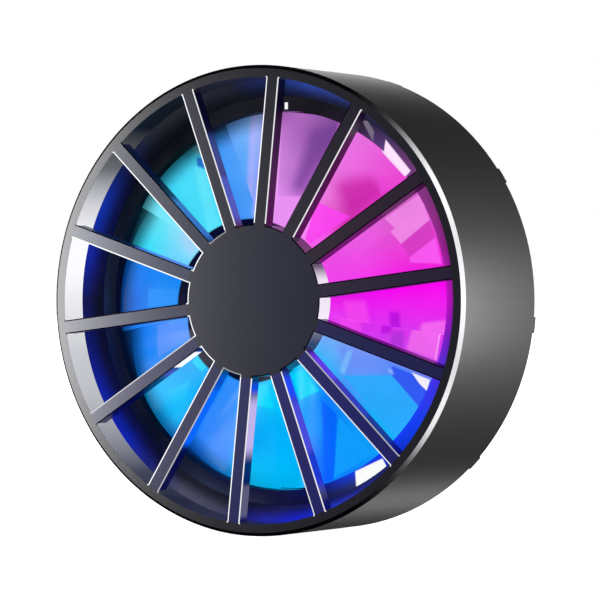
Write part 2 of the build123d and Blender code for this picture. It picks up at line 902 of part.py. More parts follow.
# Control board: segment-shaped board beside the heatsink
with BuildPart() as control_board:
    with BuildSketch(level(control_board_bottom)):
        Circle(control_board_radius)
        with Locations((-control_board_edge, 0)):
            Rectangle(
                drum_radius,
                drum_diameter,
                align=(Align.MAX, Align.CENTER),
                mode=Mode.INTERSECT,
            )
        with Locations(*board_screw_places):
            Circle(board_screw_shank_radius + hole_clearance, mode=Mode.SUBTRACT)
    extrude(amount=control_board_thickness)
finish(control_board.part, "control_board")

# Board components: choke, controller chip and two capacitors
with BuildPart() as board_components:
    blocks(
        control_board_top,
        control_board_top + choke_height,
        choke_size,
        choke_size,
        [(-control_board_edge - choke_inset, -choke_offset)],
    )
    blocks(
        control_board_top,
        control_board_top + chip_height,
        chip_size,
        chip_size,
        [(-control_board_edge - chip_inset, chip_offset)],
    )
    blocks(
        control_board_top,
        control_board_top + capacitor_height,
        capacitor_width,
        capacitor_length,
        [
            (-control_board_edge - capacitor_inset, capacitor_offset),
            (-control_board_edge - capacitor_inset, -capacitor_offset),
        ],
    )
finish(board_components.part, "board_components")

# Board screws: hold the control board on its pillars
with BuildPart() as board_screws:
    screws(
        control_board_top,
        board_screw_places,
        board_screw_head_radius,
        board_screw_head_height,
        board_screw_shank_radius,
        board_screw_shank_length,
    )
finish(board_screws.part, "board_screws")

# Charging socket: stamped shell on the control board, open at the drum's side
cavity_width = socket_width - 2 * socket_wall
cavity_height = socket_height - 2 * socket_wall
with BuildPart() as usb_c_socket:
    with BuildSketch(Plane.YZ.offset(-socket_mouth)):
        with Locations((-socket_mid_height, 0)):
            RectangleRounded(socket_height, socket_width, socket_height / 2 - socket_wall)
    extrude(amount=socket_depth)
    with BuildSketch(Plane.YZ.offset(-socket_mouth)):
        with Locations((-socket_mid_height, 0)):
            RectangleRounded(cavity_height, cavity_width, cavity_height / 2 - socket_wall)
    extrude(amount=socket_depth - socket_back, mode=Mode.SUBTRACT)
finish(usb_c_socket.part, "usb_c_socket")

# Socket tongue: thin plastic blade in the middle of the socket
with BuildPart() as socket_tongue:
    with BuildSketch(Plane.YZ.offset(-socket_back_face - socket_back)):
        with Locations((-socket_mid_height, 0)):
            Rectangle(tongue_thickness, tongue_width)
    extrude(amount=-tongue_length)
finish(socket_tongue.part, "socket_tongue")
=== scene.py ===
import bmesh
import bpy
from math import asin, atan2, cos, hypot, pi, radians, sin, sqrt
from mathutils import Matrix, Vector


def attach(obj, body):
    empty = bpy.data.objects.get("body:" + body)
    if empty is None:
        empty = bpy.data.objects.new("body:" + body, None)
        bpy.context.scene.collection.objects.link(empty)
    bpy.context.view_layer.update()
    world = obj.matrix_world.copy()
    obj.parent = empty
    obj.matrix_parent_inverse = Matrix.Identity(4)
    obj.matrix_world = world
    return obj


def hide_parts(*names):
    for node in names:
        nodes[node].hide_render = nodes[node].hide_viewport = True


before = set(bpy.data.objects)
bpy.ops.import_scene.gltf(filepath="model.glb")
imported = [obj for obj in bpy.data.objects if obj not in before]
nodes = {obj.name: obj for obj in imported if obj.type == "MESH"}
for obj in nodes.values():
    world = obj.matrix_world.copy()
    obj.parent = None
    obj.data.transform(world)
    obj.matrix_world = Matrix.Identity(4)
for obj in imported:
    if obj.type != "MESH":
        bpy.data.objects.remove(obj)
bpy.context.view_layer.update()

# Drum shell and rear cover: the dark case, injection-moulded in a filled plastic with a fine satin
# grain. The cover is screwed to the shell from the back, with small feet and exhaust vents moulded in.
mm = 0.001
black = (0, 0, 0, 1)
white = (1, 1, 1, 1)


def srgb(red, green, blue):
    """A colour as a screen shows it, from 0 to 255, as Blender's linear colour."""

    def linear(value):
        share = value / 255
        return share / 12.92 if share <= 0.04045 else ((share + 0.055) / 1.055) ** 2.4

    return (linear(red), linear(green), linear(blue), 1.0)


def add_node(tree, kind, inputs, **settings):
    """A shader or geometry node with its settings, and its inputs linked or set."""
    made = tree.nodes.new(kind if kind.startswith("Geometry") else "ShaderNode" + kind)
    for name, value in settings.items():
        setattr(made, name, value)
    for key, value in inputs.items():
        if isinstance(value, bpy.types.NodeSocket):
            tree.links.new(value, made.inputs[key])
        else:
            made.inputs[key].default_value = value
    return made


def add_ramp(tree, factor, stops, interpolation="LINEAR"):
    """A colour ramp with the given (position, colour) stops, as its colour output."""
    made = add_node(tree, "ValToRGB", {"Fac": factor})
    made.color_ramp.interpolation = interpolation
    elements = made.color_ramp.elements
    while len(elements) < len(stops):
        elements.new(1.0)
    for element, (position, colour) in zip(elements, stops):
        element.position = position
        element.color = colour
    return made.outputs["Color"]


def work_out(tree, operation, *values):
    """Values put through the named operation, as its output."""
    return add_node(tree, "Math", dict(enumerate(values)), operation=operation).outputs[0]


def mix_of(tree, share, first, second, blend_type="MIX"):
    """Two colours mixed by a share, as the colour output."""
    inputs = {"Fac": share, "Color1": first, "Color2": second}
    return add_node(tree, "MixRGB", inputs, blend_type=blend_type).outputs["Color"]


def eased(tree, value, start, end, low=0.0, high=1.0, curve="SMOOTHSTEP"):
    """A value led from low to high between two limits, and held outside them."""
    inputs = {"Value": value, "From Min": start, "From Max": end, "To Min": low, "To Max": high}
    return add_node(tree, "MapRange", inputs, interpolation_type=curve).outputs["Result"]


def noise(tree, place, scale, detail):
    """A noise pattern at the given scale, as a value."""
    return add_node(tree, "TexNoise", {"Vector": place, "Scale": scale, "Detail": detail}).outputs["Fac"]


def blank_material(name):
    """A material with its shader, and the object coordinates that its pattern follows."""
    material = bpy.data.materials.new(name)
    material.use_nodes = True
    tree = material.node_tree
    shader = tree.nodes["Principled BSDF"]
    place = add_node(tree, "TexCoord", {}).outputs["Object"]
    return material, tree, shader, place


def rubbed_colour(tree, place, dark, light, rubbed, cloud_scale=140.0):
    """A faintly cloudy colour that pales where edges are rubbed."""
    cloud = noise(tree, place, cloud_scale, 4.0)
    body = add_ramp(tree, cloud, [(0.35, dark), (0.65, light)])
    edge = add_node(tree, "NewGeometry", {}).outputs["Pointiness"]
    wear = add_ramp(tree, edge, [(0.52, black), (0.60, white)])
    return mix_of(tree, work_out(tree, "MULTIPLY", wear, cloud), body, rubbed)


def grain(tree, shader, place, scale, depth, smooth, rough):
    """Fine relief in the surface, and a roughness that varies with a wider pattern."""
    bump = add_node(tree, "Bump", {"Height": noise(tree, place, scale, 3.0), "Distance": depth})
    tree.links.new(bump.outputs["Normal"], shader.inputs["Normal"])
    spread = eased(tree, noise(tree, place, scale / 4, 2.0), 0.3, 0.7, smooth, rough, "LINEAR")
    tree.links.new(spread, shader.inputs["Roughness"])


def moulded_plastic(name, colour, pale, smooth=0.338, rough=0.354, grain_depth=0.003 * mm):
    """A dark moulded plastic with satin grain."""
    material, tree, shader, place = blank_material(name)
    dark = tuple(0.8 * value for value in colour[:3]) + (1.0,)
    tree.links.new(rubbed_colour(tree, place, dark, colour, pale), shader.inputs["Base Color"])
    grain(tree, shader, place, 5200.0, grain_depth, smooth, rough)
    return material


case_colour = srgb(11, 11, 17)
case_rubbed = srgb(16, 16, 22)
case_plastic = moulded_plastic("satin_case_plastic", case_colour, case_rubbed)
for name in ("drum_shell", "rear_cover"):
    nodes[name].material_slots[0].material = case_plastic

# Cold side: an aluminium disc behind a soft thermal pad, a ring of plated magnets under a silicone
# ring, and the thermoelectric module between the disc and the heatsink, packed round with foam.


def brushed_metal(name, colour, smooth, rough, scratch_scale=900.0):
    """A worked metal: fine scratches, and a colour that dulls in patches."""
    material, tree, shader, place = blank_material(name)
    shader.inputs["Metallic"].default_value = 1.0
    dull = tuple(0.82 * value for value in colour[:3]) + (1.0,)
    cloudy = add_ramp(tree, noise(tree, place, 260.0, 3.0), [(0.35, dull), (0.65, colour)])
    tree.links.new(cloudy, shader.inputs["Base Color"])
    grain(tree, shader, place, scratch_scale * 6, 0.004 * mm, smooth, rough)
    return material


def soft_rubber(name, colour, pale):
    """Silicone or foam: nearly matt, with a dusty bloom."""
    material, tree, shader, place = blank_material(name)
    tree.links.new(rubbed_colour(tree, place, colour, pale, pale, 320.0), shader.inputs["Base Color"])
    grain(tree, shader, place, 3600.0, 0.03 * mm, 0.62, 0.78)
    return material


aluminium = brushed_metal("machined_aluminium", srgb(205, 206, 210), 0.24, 0.4)
nickel = brushed_metal("nickel_plating", srgb(200, 198, 192), 0.16, 0.3)
grey_silicone = soft_rubber("grey_silicone", srgb(66, 68, 74), srgb(84, 86, 92))
pad_silicone = soft_rubber("thermal_pad_silicone", srgb(104, 110, 122), srgb(122, 128, 140))
black_foam = soft_rubber("closed_cell_foam", srgb(34, 34, 36), srgb(48, 48, 50))
white_ceramic = moulded_plastic("ground_alumina", srgb(224, 224, 218), srgb(240, 240, 236), 0.5, 0.6)
pellet_alloy = brushed_metal("pellet_alloy", srgb(120, 120, 128), 0.4, 0.55)
red_insulation = moulded_plastic("red_lead_insulation", srgb(150, 26, 24), srgb(180, 60, 56), 0.3, 0.4)
for name, finish in {
    "cold_plate": aluminium,
    "holding_magnets": nickel,
    "soft_ring": grey_silicone,
    "contact_pad": pad_silicone,
    "foam_gasket": black_foam,
    "peltier_cold_ceramic": white_ceramic,
    "peltier_hot_ceramic": white_ceramic,
    "peltier_pellets": pellet_alloy,
    "peltier_leads": red_insulation,
}.items():
    nodes[name].material_slots[0].material = finish

# Heatsink: cut from aluminium, with radial fins, and clamped to the rear cover by four screws.
# All the screws are cross-head machine screws in blackened steel.
screw_steel = brushed_metal("blackened_screw_steel", srgb(92, 92, 96), 0.3, 0.45)
nodes["heatsink"].material_slots[0].material = aluminium
for name in ("heatsink_screws", "case_screws", "motor_screws", "board_screws"):
    nodes[name].material_slots[0].material = screw_steel

# Control board and charging socket: a lacquered board on two pillars of the rear cover, moulded
# components, and a stamped and plated socket whose mouth stands in the drum's side.
board_laminate = moulded_plastic("green_board_lacquer", srgb(18, 74, 48), srgb(60, 120, 80), 0.22, 0.32)
component_black = moulded_plastic("component_moulding", srgb(26, 26, 28), srgb(70, 70, 72), 0.4, 0.5)
socket_steel = brushed_metal("plated_socket_steel", srgb(196, 197, 200), 0.18, 0.3)
for name, finish in {
    "control_board": board_laminate,
    "motor_board": board_laminate,
    "light_board": board_laminate,
    "board_components": component_black,
    "usb_c_socket": socket_steel,
    "socket_tongue": component_black,
}.items():
    nodes[name].material_slots[0].material = finish

# Motor: a stator wound on six poles round a sintered bronze bearing, and a steel yoke with a ring
# magnet that turns on the shaft. The base is screwed to the heatsink's boss.
motor_steel = brushed_metal("motor_steel", srgb(176, 177, 180), 0.28, 0.42)
coil_copper = brushed_metal("enamelled_copper", srgb(196, 112, 62), 0.25, 0.35)
bearing_bronze = brushed_metal("sintered_bronze", srgb(176, 138, 84), 0.5, 0.62)
for name, finish in {
    "motor_base": component_black,
    "thrust_pad": component_black,
    "stator_core": motor_steel,
    "rotor_yoke": motor_steel,
    "shaft": motor_steel,
    "retaining_washer": motor_steel,
    "ring_magnet": nickel,
    "sleeve_bearing": bearing_bronze,
    "stator_coils": coil_copper,
    "motor_leads": red_insulation,
    "light_leads": red_insulation,
}.items():
    nodes[name].material_slots[0].material = finish

# Impeller: a cup with nine wide cambered blades, moulded in one piece in a clear tinted plastic that
# carries the lamps' light; that light is painted on as glow, so that each blade glows in the colour of the
# lamps beside it.
blade_count = 9
blade_bottom = 11.2 * mm
blade_height = 4.0 * mm
blade_top = 15.4 * mm
blade_thickness = 0.7 * mm
blade_root_run = 6.4 * mm
blade_tip_run = 20.4 * mm
blade_sweep = 3.0 * mm
blade_root_radius = 8.0 * mm
blade_tip_radius = 26.7 * mm
blade_root_camber = 0.5 * mm
blade_tip_camber = 0.9 * mm
radial_steps = 22
chord_steps = 14
cup_radius = 8.35 * mm
cup_inner_radius = 7.75 * mm
cup_bottom = 11.3 * mm
cup_ceiling = 15.8 * mm
cup_top = 16.6 * mm
cup_edge_round = 0.5 * mm
cup_segments = 128
blade_edge_round = 0.1 * mm
blade_edge_steps = 2


def polar(radius, angle, height):
    """A place by its radius, its angle from +X towards +Z, and its height in front of the phone."""
    return Vector((radius * cos(angle), -height, radius * sin(angle)))


def turned(profile, segments=256):
    """A closed (radius, height) profile turned round the drum's axis, as a mesh in a bmesh."""
    shape = bmesh.new()
    rings = []
    for radius, height in profile:
        if radius == 0:
            rings.append([shape.verts.new((0, -height, 0))] * segments)
        else:
            at = [2 * pi * k / segments for k in range(segments)]
            rings.append([shape.verts.new(polar(radius, angle, height)) for angle in at])
    for first, second in zip(rings, rings[1:] + rings[:1]):
        for k in range(segments):
            n = (k + 1) % segments
            corners = []
            for vertex in (first[k], first[n], second[n], second[k]):
                if vertex not in corners:
                    corners.append(vertex)
            if len(corners) > 2:
                shape.faces.new(corners)
    bmesh.ops.recalc_face_normals(shape, faces=shape.faces)
    return shape


def piece_from(shape, name):
    """A mesh object at the origin from a bmesh, shaded smooth."""
    mesh = bpy.data.meshes.new(name)
    shape.to_mesh(mesh)
    shape.free()
    mesh.shade_smooth()
    piece = bpy.data.objects.new(name, mesh)
    bpy.context.scene.collection.objects.link(piece)
    return piece


def repeat_tree(name):
    """Geometry nodes that set copies of the mesh at even angles round the drum's axis."""
    tree = bpy.data.node_groups.new(name, "GeometryNodeTree")
    sockets = {
        "Geometry": "Geometry",
        "Count": "Int",
        "Start angle": "Float",
        "Weld distance": "Float",
        "Finish": "Material",
    }
    for title, kind in sockets.items():
        tree.interface.new_socket(title, in_out="INPUT", socket_type="NodeSocket" + kind)
    tree.interface.new_socket("Geometry", in_out="OUTPUT", socket_type="NodeSocketGeometry")
    given = tree.nodes.new("NodeGroupInput").outputs
    line = add_node(tree, "GeometryNodeMeshLine", {"Offset": (0, 0, 0), "Count": given["Count"]})
    index = add_node(tree, "GeometryNodeInputIndex", {})
    step = work_out(tree, "DIVIDE", -2 * pi, given["Count"])
    turn = work_out(tree, "MULTIPLY", index.outputs[0], step)
    angle = work_out(tree, "SUBTRACT", turn, given["Start angle"])
    rotation = add_node(tree, "CombineXYZ", {"Y": angle}).outputs[0]
    copied = {"Points": line.outputs["Mesh"], "Instance": given["Geometry"], "Rotation": rotation}
    copies = add_node(tree, "GeometryNodeInstanceOnPoints", copied)
    real = add_node(tree, "GeometryNodeRealizeInstances", {0: copies.outputs[0]})
    welded = {"Geometry": real.outputs[0], "Distance": given["Weld distance"]}
    weld = add_node(tree, "GeometryNodeMergeByDistance", welded)
    dress = add_node(
        tree, "GeometryNodeSetMaterial", {"Geometry": weld.outputs[0], "Material": given["Finish"]}
    )
    tree.links.new(dress.outputs[0], tree.nodes.new("NodeGroupOutput").inputs[0])
    return tree


around_the_axis = repeat_tree("around_the_axis")


def repeated(shape, name, count, start_angle, finish, weld=0.002 * mm):
    """A bmesh repeated round the axis, as a plain mesh object."""
    pattern = piece_from(shape, name + "_pattern")
    modifier = pattern.modifiers.new("around_the_axis", "NODES")
    modifier.node_group = around_the_axis
    sockets = {
        item.name: item.identifier
        for item in around_the_axis.interface.items_tree
        if item.in_out == "INPUT"
    }
    modifier[sockets["Count"]] = count
    modifier[sockets["Start angle"]] = start_angle
    modifier[sockets["Weld distance"]] = weld
    modifier[sockets["Finish"]] = finish
    seen = pattern.evaluated_get(bpy.context.evaluated_depsgraph_get())
    mesh = bpy.data.meshes.new_from_object(seen)
    mesh.name = name
    mesh.materials.clear()
    mesh.materials.append(finish)
    mesh.polygons.foreach_set("material_index", [0] * len(mesh.polygons))
    pattern.modifiers.remove(modifier)
    bpy.data.objects.remove(pattern)
    piece = bpy.data.objects.new(name, mesh)
    bpy.context.scene.collection.objects.link(piece)
    return piece


def rounded_edges(piece, width, segments=3, angle=radians(30)):
    """A small round on every edge sharper than the angle."""
    bevel = piece.modifiers.new("rounded_edges", "BEVEL")
    bevel.width = width
    bevel.segments = segments
    bevel.limit_method = "ANGLE"
    bevel.angle_limit = angle
    bevel.harden_normals = True


def blade_place(radius, chord_share, side):
    """A place on one blade: chord_share runs from -1 at the back to 1 at the front, side is 1 on top."""
    span = (radius - blade_root_radius) / (blade_tip_radius - blade_root_radius)
    run = blade_root_run + span * (blade_tip_run - blade_root_run)
    camber = blade_root_camber + span * (blade_tip_camber - blade_root_camber)
    rise = blade_height - blade_thickness
    along = span * blade_sweep + chord_share * run / 2
    lift = chord_share * rise / 2 + camber * (1 - chord_share**2) + side * blade_thickness / 2
    middle = blade_bottom + blade_height / 2
    return Vector((sqrt(radius**2 - along**2), -middle - lift, along))


blade = bmesh.new()
skins = []
for side in (1, -1):
    skins.append([
        [
            blade.verts.new(blade_place(
                blade_root_radius + (blade_tip_radius - blade_root_radius) * i / radial_steps,
                2 * j / chord_steps - 1,
                side,
            ))
            for j in range(chord_steps + 1)
        ]
        for i in range(radial_steps + 1)
    ])
top, bottom = skins
for i in range(radial_steps):
    for j in range(chord_steps):
        blade.faces.new((top[i][j], top[i + 1][j], top[i + 1][j + 1], top[i][j + 1]))
        blade.faces.new((bottom[i][j], bottom[i][j + 1], bottom[i + 1][j + 1], bottom[i + 1][j]))
    for j, turn in ((0, 1), (chord_steps, -1)):
        strip = (top[i][j], bottom[i][j], bottom[i + 1][j], top[i + 1][j])
        blade.faces.new(strip[::turn])
for i, turn in ((0, -1), (radial_steps, 1)):
    for j in range(chord_steps):
        strip = (top[i][j], bottom[i][j], bottom[i][j + 1], top[i][j + 1])
        blade.faces.new(strip[::turn])
bmesh.ops.recalc_face_normals(blade, faces=blade.faces)

# The lamps' glow painted on the blades as it is seen in the grille's windows, anticlockwise from the one
# below the left spoke: the colours beside the window's first spoke and beside its last one, each at three
# distances.
window_painted_glow = [
    (((92, 158, 252), (30, 130, 252), (0, 120, 254)), ((60, 144, 246), (28, 138, 249), (1, 137, 254))),
    (((10, 170, 246), (6, 186, 254), (2, 176, 252)), ((6, 178, 253), (24, 190, 252), (0, 134, 250))),
    (((20, 130, 250), (42, 134, 252), (1, 107, 251)), ((40, 160, 252), (66, 152, 252), (0, 152, 248))),
    (((20, 176, 248), (10, 165, 248), (0, 198, 254)), ((2, 203, 255), (0, 180, 253), (0, 182, 251))),
    (((10, 180, 250), (5, 166, 252), (2, 106, 254)), ((2, 200, 252), (4, 124, 254), (10, 152, 252))),
    (((30, 186, 254), (52, 156, 252), (18, 178, 252)), ((120, 170, 250), (122, 154, 250), (80, 140, 248))),
    (((228, 70, 246), (212, 58, 244), (204, 66, 238)), ((238, 6, 232), (242, 1, 239), (252, 0, 242))),
    (((244, 66, 238), (246, 56, 238), (244, 36, 226)), ((236, 80, 229), (238, 98, 230), (216, 98, 202))),
    (((250, 90, 238), (214, 50, 178), (236, 68, 212)), ((252, 150, 252), (252, 138, 244), (236, 122, 232))),
    (((216, 128, 236), (174, 98, 200), (122, 70, 148)), ((246, 160, 250), (222, 146, 232), (206, 124, 220))),
    (((86, 162, 250), (100, 172, 254), (136, 190, 254)), ((50, 142, 246), (58, 152, 251), (36, 138, 239))),
    (((78, 222, 254), (92, 226, 253), (54, 190, 226)), ((60, 220, 250), (46, 213, 248), (50, 208, 246))),
    (((146, 226, 253), (118, 236, 254), (96, 230, 255)), ((96, 210, 252), (44, 224, 253), (47, 216, 254))),
    (((8, 136, 252), (8, 132, 252), (10, 100, 232)), ((36, 142, 246), (22, 114, 232), (16, 94, 225))),
]
# Where the first window starts, the step from one to the next and the margin at a window's sides, in
# degrees, then the three distances, and how far the windows' middle lies from the axis towards -X
window_from = -172.94
window_step = 360 / 14
window_margin = 2.6
glow_radii = (14.0, 19.0, 25.5)
glow_shift = 5.28
tip_fade_start = 23.6
tip_fade_end = 26.8
tip_shade = 0.12
# How far the tips darken round the fan, as painted shade on the left side: (angle, share)
painted_tip_shade = [
    (-180, 0.9),
    (-120, 0.7),
    (-96, 0.25),
    (-84, 0.0),
    (84, 0.0),
    (92, 0.6),
    (110, 0.95),
    (180, 0.9),
]


def glow_stops(reach):
    """The glow's ramp at one of its three distances, as (angle, colour) stops from -180 to 180."""
    stops = []
    for k, window in enumerate(window_painted_glow):
        for side, colours in zip((window_margin, window_step - window_margin), window):
            angle = window_from + k * window_step + side
            stops.append((angle - 360 if angle > 180 else angle, colours[reach]))
    last = window_painted_glow[-1][1][reach]
    return [(-180, last)] + sorted(stops) + [(180, last)]


# Painted glints, where a blade's flat catches a lamp, and painted patches of brighter and darker glow: four
# corners clockwise as seen from the grille, in millimetres across (X) and up (Z), then the colour, how
# strong it is and its soft edge.
blade_painted_patches = [
    ((-20.3, 10.0), (-19.3, 11.8), (-14.2, 7.3), (-15.6, 5.6), (150, 228, 255), 0.35, 0.5),
    ((-18.3, 10.8), (-14.6, 7.6), (-15.9, 6.4), (-17.6, 8.8), (180, 208, 252), 0.5, 0.5),
    ((-17.8, 22.2), (-16.0, 24.8), (-14.6, 21.6), (-15.8, 20.4), (50, 160, 170), 0.6, 0.8),
    ((-16.1, 24.6), (-15.6, 24.9), (-13.7, 20.8), (-14.9, 21.4), (120, 186, 190), 0.7, 0.3),
    ((-14.3, 20.7), (-13.4, 20.5), (-12.7, 18.8), (-14.2, 19.4), (20, 84, 196), 0.85, 0.25),
    ((-16.9, 16.6), (-14.6, 19.4), (-11.9, 9.9), (-12.9, 10.7), (70, 226, 255), 0.5, 0.6),
    ((-14.6, 19.4), (-13.2, 18.6), (-10.2, 10.7), (-12.0, 9.6), (100, 232, 255), 0.7, 0.3),
    ((-4.9, 26.5), (-3.6, 26.8), (-4.6, 12.1), (-5.6, 12.1), (190, 178, 255), 0.6, 0.5),
    ((-1.4, 14.8), (3.6, 14.8), (1.8, 10.4), (-3.0, 10.4), (236, 148, 246), 0.85, 0.15),
    ((-0.6, 26.9), (0.0, 26.9), (-0.7, 14.6), (-1.6, 11.6), (244, 160, 250), 0.95, 0.15),
    ((4.4, 24.6), (8.2, 24.6), (2.6, 15.2), (1.4, 15.8), (118, 64, 150), 0.75, 1.1),
    ((16.2, 22.3), (20.1, 17.9), (19.3, 17.3), (16.1, 20.8), (255, 222, 255), 1.0, 0.12),
    ((8.6, 16.6), (14.6, 17.6), (16.6, 14.6), (10.6, 11.4), (200, 22, 164), 0.75, 1.5),
    ((15.5, 17.2), (18.9, 17.4), (16.1, 15.1), (15.5, 14.8), (236, 70, 214), 0.7, 0.2),
    ((5.9, 14.0), (10.8, 11.8), (4.8, 8.0), (3.1, 9.6), (255, 66, 245), 0.85, 0.12),
    ((15.8, 11.5), (21.9, 15.3), (23.8, 11.2), (19.3, 7.9), (242, 136, 232), 0.95, 0.14),
    ((19.3, 7.9), (23.8, 11.2), (24.6, 8.7), (20.5, 6.1), (208, 60, 190), 0.7, 0.2),
    ((20.6, 6.1), (24.6, 8.7), (25.4, 5.1), (20.5, 5.3), (253, 92, 246), 0.85, 0.18),
    ((9.5, -0.1), (13.0, -0.1), (13.0, -4.7), (9.5, -3.4), (252, 76, 242), 0.6, 0.5),
    ((16.4, -1.6), (18.1, -1.6), (17.8, -4.5), (16.1, -4.7), (182, 10, 226), 0.8, 0.4),
    ((17.9, -4.3), (19.8, -4.1), (19.5, -6.6), (17.6, -6.2), (172, 46, 214), 0.7, 0.4),
    ((21.3, -3.2), (25.7, -2.7), (24.7, -8.2), (20.1, -6.8), (248, 112, 240), 0.75, 0.35),
    ((25.5, -3.0), (25.8, -3.0), (24.8, -8.2), (24.5, -8.2), (255, 160, 250), 0.8, 0.08),
    ((8.7, -6.3), (18.3, -9.0), (17.5, -10.4), (9.5, -10.1), (108, 140, 252), 0.5, 0.6),
    ((10.3, -7.0), (11.3, -7.1), (9.2, -10.5), (8.4, -9.9), (130, 194, 255), 0.7, 0.3),
    ((8.9, -10.6), (17.5, -10.4), (21.8, -15.0), (18.3, -20.0), (40, 172, 255), 0.85, 0.15),
    ((17.6, -9.1), (24.1, -11.2), (22.0, -15.1), (17.5, -10.4), (44, 76, 244), 0.85, 0.2),
    ((16.8, -9.6), (17.6, -9.6), (17.9, -10.3), (17.3, -10.2), (150, 190, 255), 0.7, 0.2),
    ((20.8, -10.0), (23.7, -11.0), (23.1, -12.5), (22.0, -11.6), (244, 240, 255), 1.0, 0.1),
    ((1.0, -10.6), (3.1, -9.7), (6.1, -12.7), (2.5, -14.1), (0, 222, 255), 0.9, 0.25),
    ((6.5, -13.9), (9.1, -16.1), (8.4, -25.3), (6.5, -25.6), (0, 95, 255), 0.85, 0.35),
    ((9.3, -16.3), (14.9, -21.5), (11.5, -23.4), (8.3, -25.1), (14, 160, 255), 0.85, 0.2),
    ((-4.3, -12.1), (-2.2, -11.9), (-1.0, -15.4), (-4.5, -14.9), (0, 222, 255), 0.85, 0.3),
    ((-12.4, -15.4), (-9.8, -11.0), (-7.6, -11.6), (-8.8, -22.9), (56, 142, 255), 0.75, 0.2),
    ((-14.6, -19.5), (-12.4, -15.4), (-8.8, -22.9), (-10.9, -22.9), (50, 136, 255), 0.75, 0.2),
    ((-14.9, -8.9), (-14.0, -7.8), (-12.2, -9.3), (-13.0, -10.3), (0, 222, 255), 0.8, 0.2),
    ((-19.1, -13.0), (-15.1, -11.6), (-15.9, -14.2), (-17.8, -14.8), (30, 198, 255), 0.8, 0.3),
    ((-21.9, -3.6), (-16.9, -3.0), (-15.7, -5.3), (-21.0, -8.2), (92, 150, 255), 0.85, 0.15),
    ((-22.1, 1.7), (-16.7, 1.7), (-16.9, -0.4), (-22.0, -0.9), (44, 150, 255), 0.8, 0.15),
]
# The glow stops short of the hub in a painted shadow: its edge is a distance from the windows' middle,
# in millimetres, and on the cup it is a radius
hub_shadow_radius = 11.75
cup_shadow_radius = 7.7
hub_shadow_soft = 0.12
hub_shadow_colour = srgb(4, 8, 44)
unlit_tip = (0, 0, 0.001, 1)


def vector_of(tree, operation, *values, output="Vector"):
    """Vectors put through the named operation, as its output."""
    return add_node(tree, "VectorMath", dict(enumerate(values)), operation=operation).outputs[output]


def in_millimetres(tree, place):
    """Object coordinates in millimetres."""
    return add_node(tree, "VectorMath", {0: place, "Scale": 1 / mm}, operation="SCALE").outputs[0]


def angle_ramp(tree, share, stops):
    """A colour ramp round the axis, with (angle from -180 to 180, screen colour) stops."""
    return add_ramp(tree, share, [((angle + 180) / 360, srgb(*tone)) for angle, tone in stops])


def level_ramp(tree, share, stops):
    """A ramp of grey levels round the axis, with (angle, level) stops."""
    greys = [((angle + 180) / 360, (level, level, level, 1)) for angle, level in stops]
    return add_ramp(tree, share, greys)


def glow(tree, shader, colour, strength=1.0):
    """Painted light that the surface gives off as emission, in the given colour."""
    tree.links.new(colour, shader.inputs["Emission Color"])
    shader.inputs["Emission Strength"].default_value = strength


def mottled(tree, place, colour, scale, detail, dimmest):
    """The colour with a faint mottle over it."""
    depth = add_ramp(
        tree, noise(tree, place, scale, detail), [(0.3, (dimmest, dimmest, dimmest, 1)), (0.7, white)]
    )
    return mix_of(tree, 1.0, colour, depth, "MULTIPLY")


def painted_patch_group():
    """Shader nodes that lay one four-cornered patch of painted light over another colour."""
    tree = bpy.data.node_groups.new("painted_light_patch", "ShaderNodeTree")
    corners = [f"Corner {k + 1}" for k in range(4)]
    sockets = {
        "Place": "Vector",
        "Soft edge": "Float",
        "Strength": "Float",
        "Under": "Color",
        "Patch": "Color",
        **dict.fromkeys(corners, "Vector"),
    }
    for title, kind in sockets.items():
        tree.interface.new_socket(title, in_out="INPUT", socket_type="NodeSocket" + kind)
    tree.interface.new_socket("Colour", in_out="OUTPUT", socket_type="NodeSocketColor")
    given = tree.nodes.new("NodeGroupInput").outputs
    outward = work_out(tree, "MULTIPLY", given["Soft edge"], -1.0)
    inside = given["Strength"]
    for start, end in zip(corners, corners[1:] + corners[:1]):
        edge = vector_of(tree, "SUBTRACT", given[end], given[start])
        across = vector_of(tree, "CROSS_PRODUCT", edge, (0, -1, 0))
        inward = vector_of(tree, "NORMALIZE", across)
        away = vector_of(tree, "SUBTRACT", given["Place"], given[start])
        distance = vector_of(tree, "DOT_PRODUCT", away, inward, output="Value")
        inside = work_out(tree, "MULTIPLY", inside, eased(tree, distance, outward, given["Soft edge"]))
    mixed = mix_of(tree, inside, given["Under"], given["Patch"])
    tree.links.new(mixed, tree.nodes.new("NodeGroupOutput").inputs["Colour"])
    return tree


def with_patches(tree, flat, colour, patches):
    """The colour with four-cornered patches of painted light laid over it, each with its colour, strength
    and soft edge.
    """
    group = bpy.data.node_groups.get("painted_light_patch") or painted_patch_group()
    for *corners, patch, strength, soft in patches:
        made = tree.nodes.new("ShaderNodeGroup")
        made.node_tree = group
        tree.links.new(flat, made.inputs["Place"])
        tree.links.new(colour, made.inputs["Under"])
        for k, (across, up) in enumerate(corners):
            made.inputs[f"Corner {k + 1}"].default_value = (across, 0, up)
        made.inputs["Soft edge"].default_value = soft
        made.inputs["Strength"].default_value = strength
        made.inputs["Patch"].default_value = srgb(*patch)
        colour = made.outputs["Colour"]
    return colour


def angle_share(tree, place):
    """The angle round the axis as a share of a turn, 0 at -180 degrees, the radius, X and Z, and Y."""
    parts = add_node(tree, "SeparateXYZ", {"Vector": place}).outputs
    angle = work_out(tree, "ARCTAN2", parts["Z"], parts["X"])
    share = eased(tree, angle, -pi, pi, curve="LINEAR")
    flat = add_node(tree, "CombineXYZ", {"X": parts["X"], "Z": parts["Z"]}).outputs[0]
    return share, vector_of(tree, "LENGTH", flat, output="Value"), flat, parts["Y"]


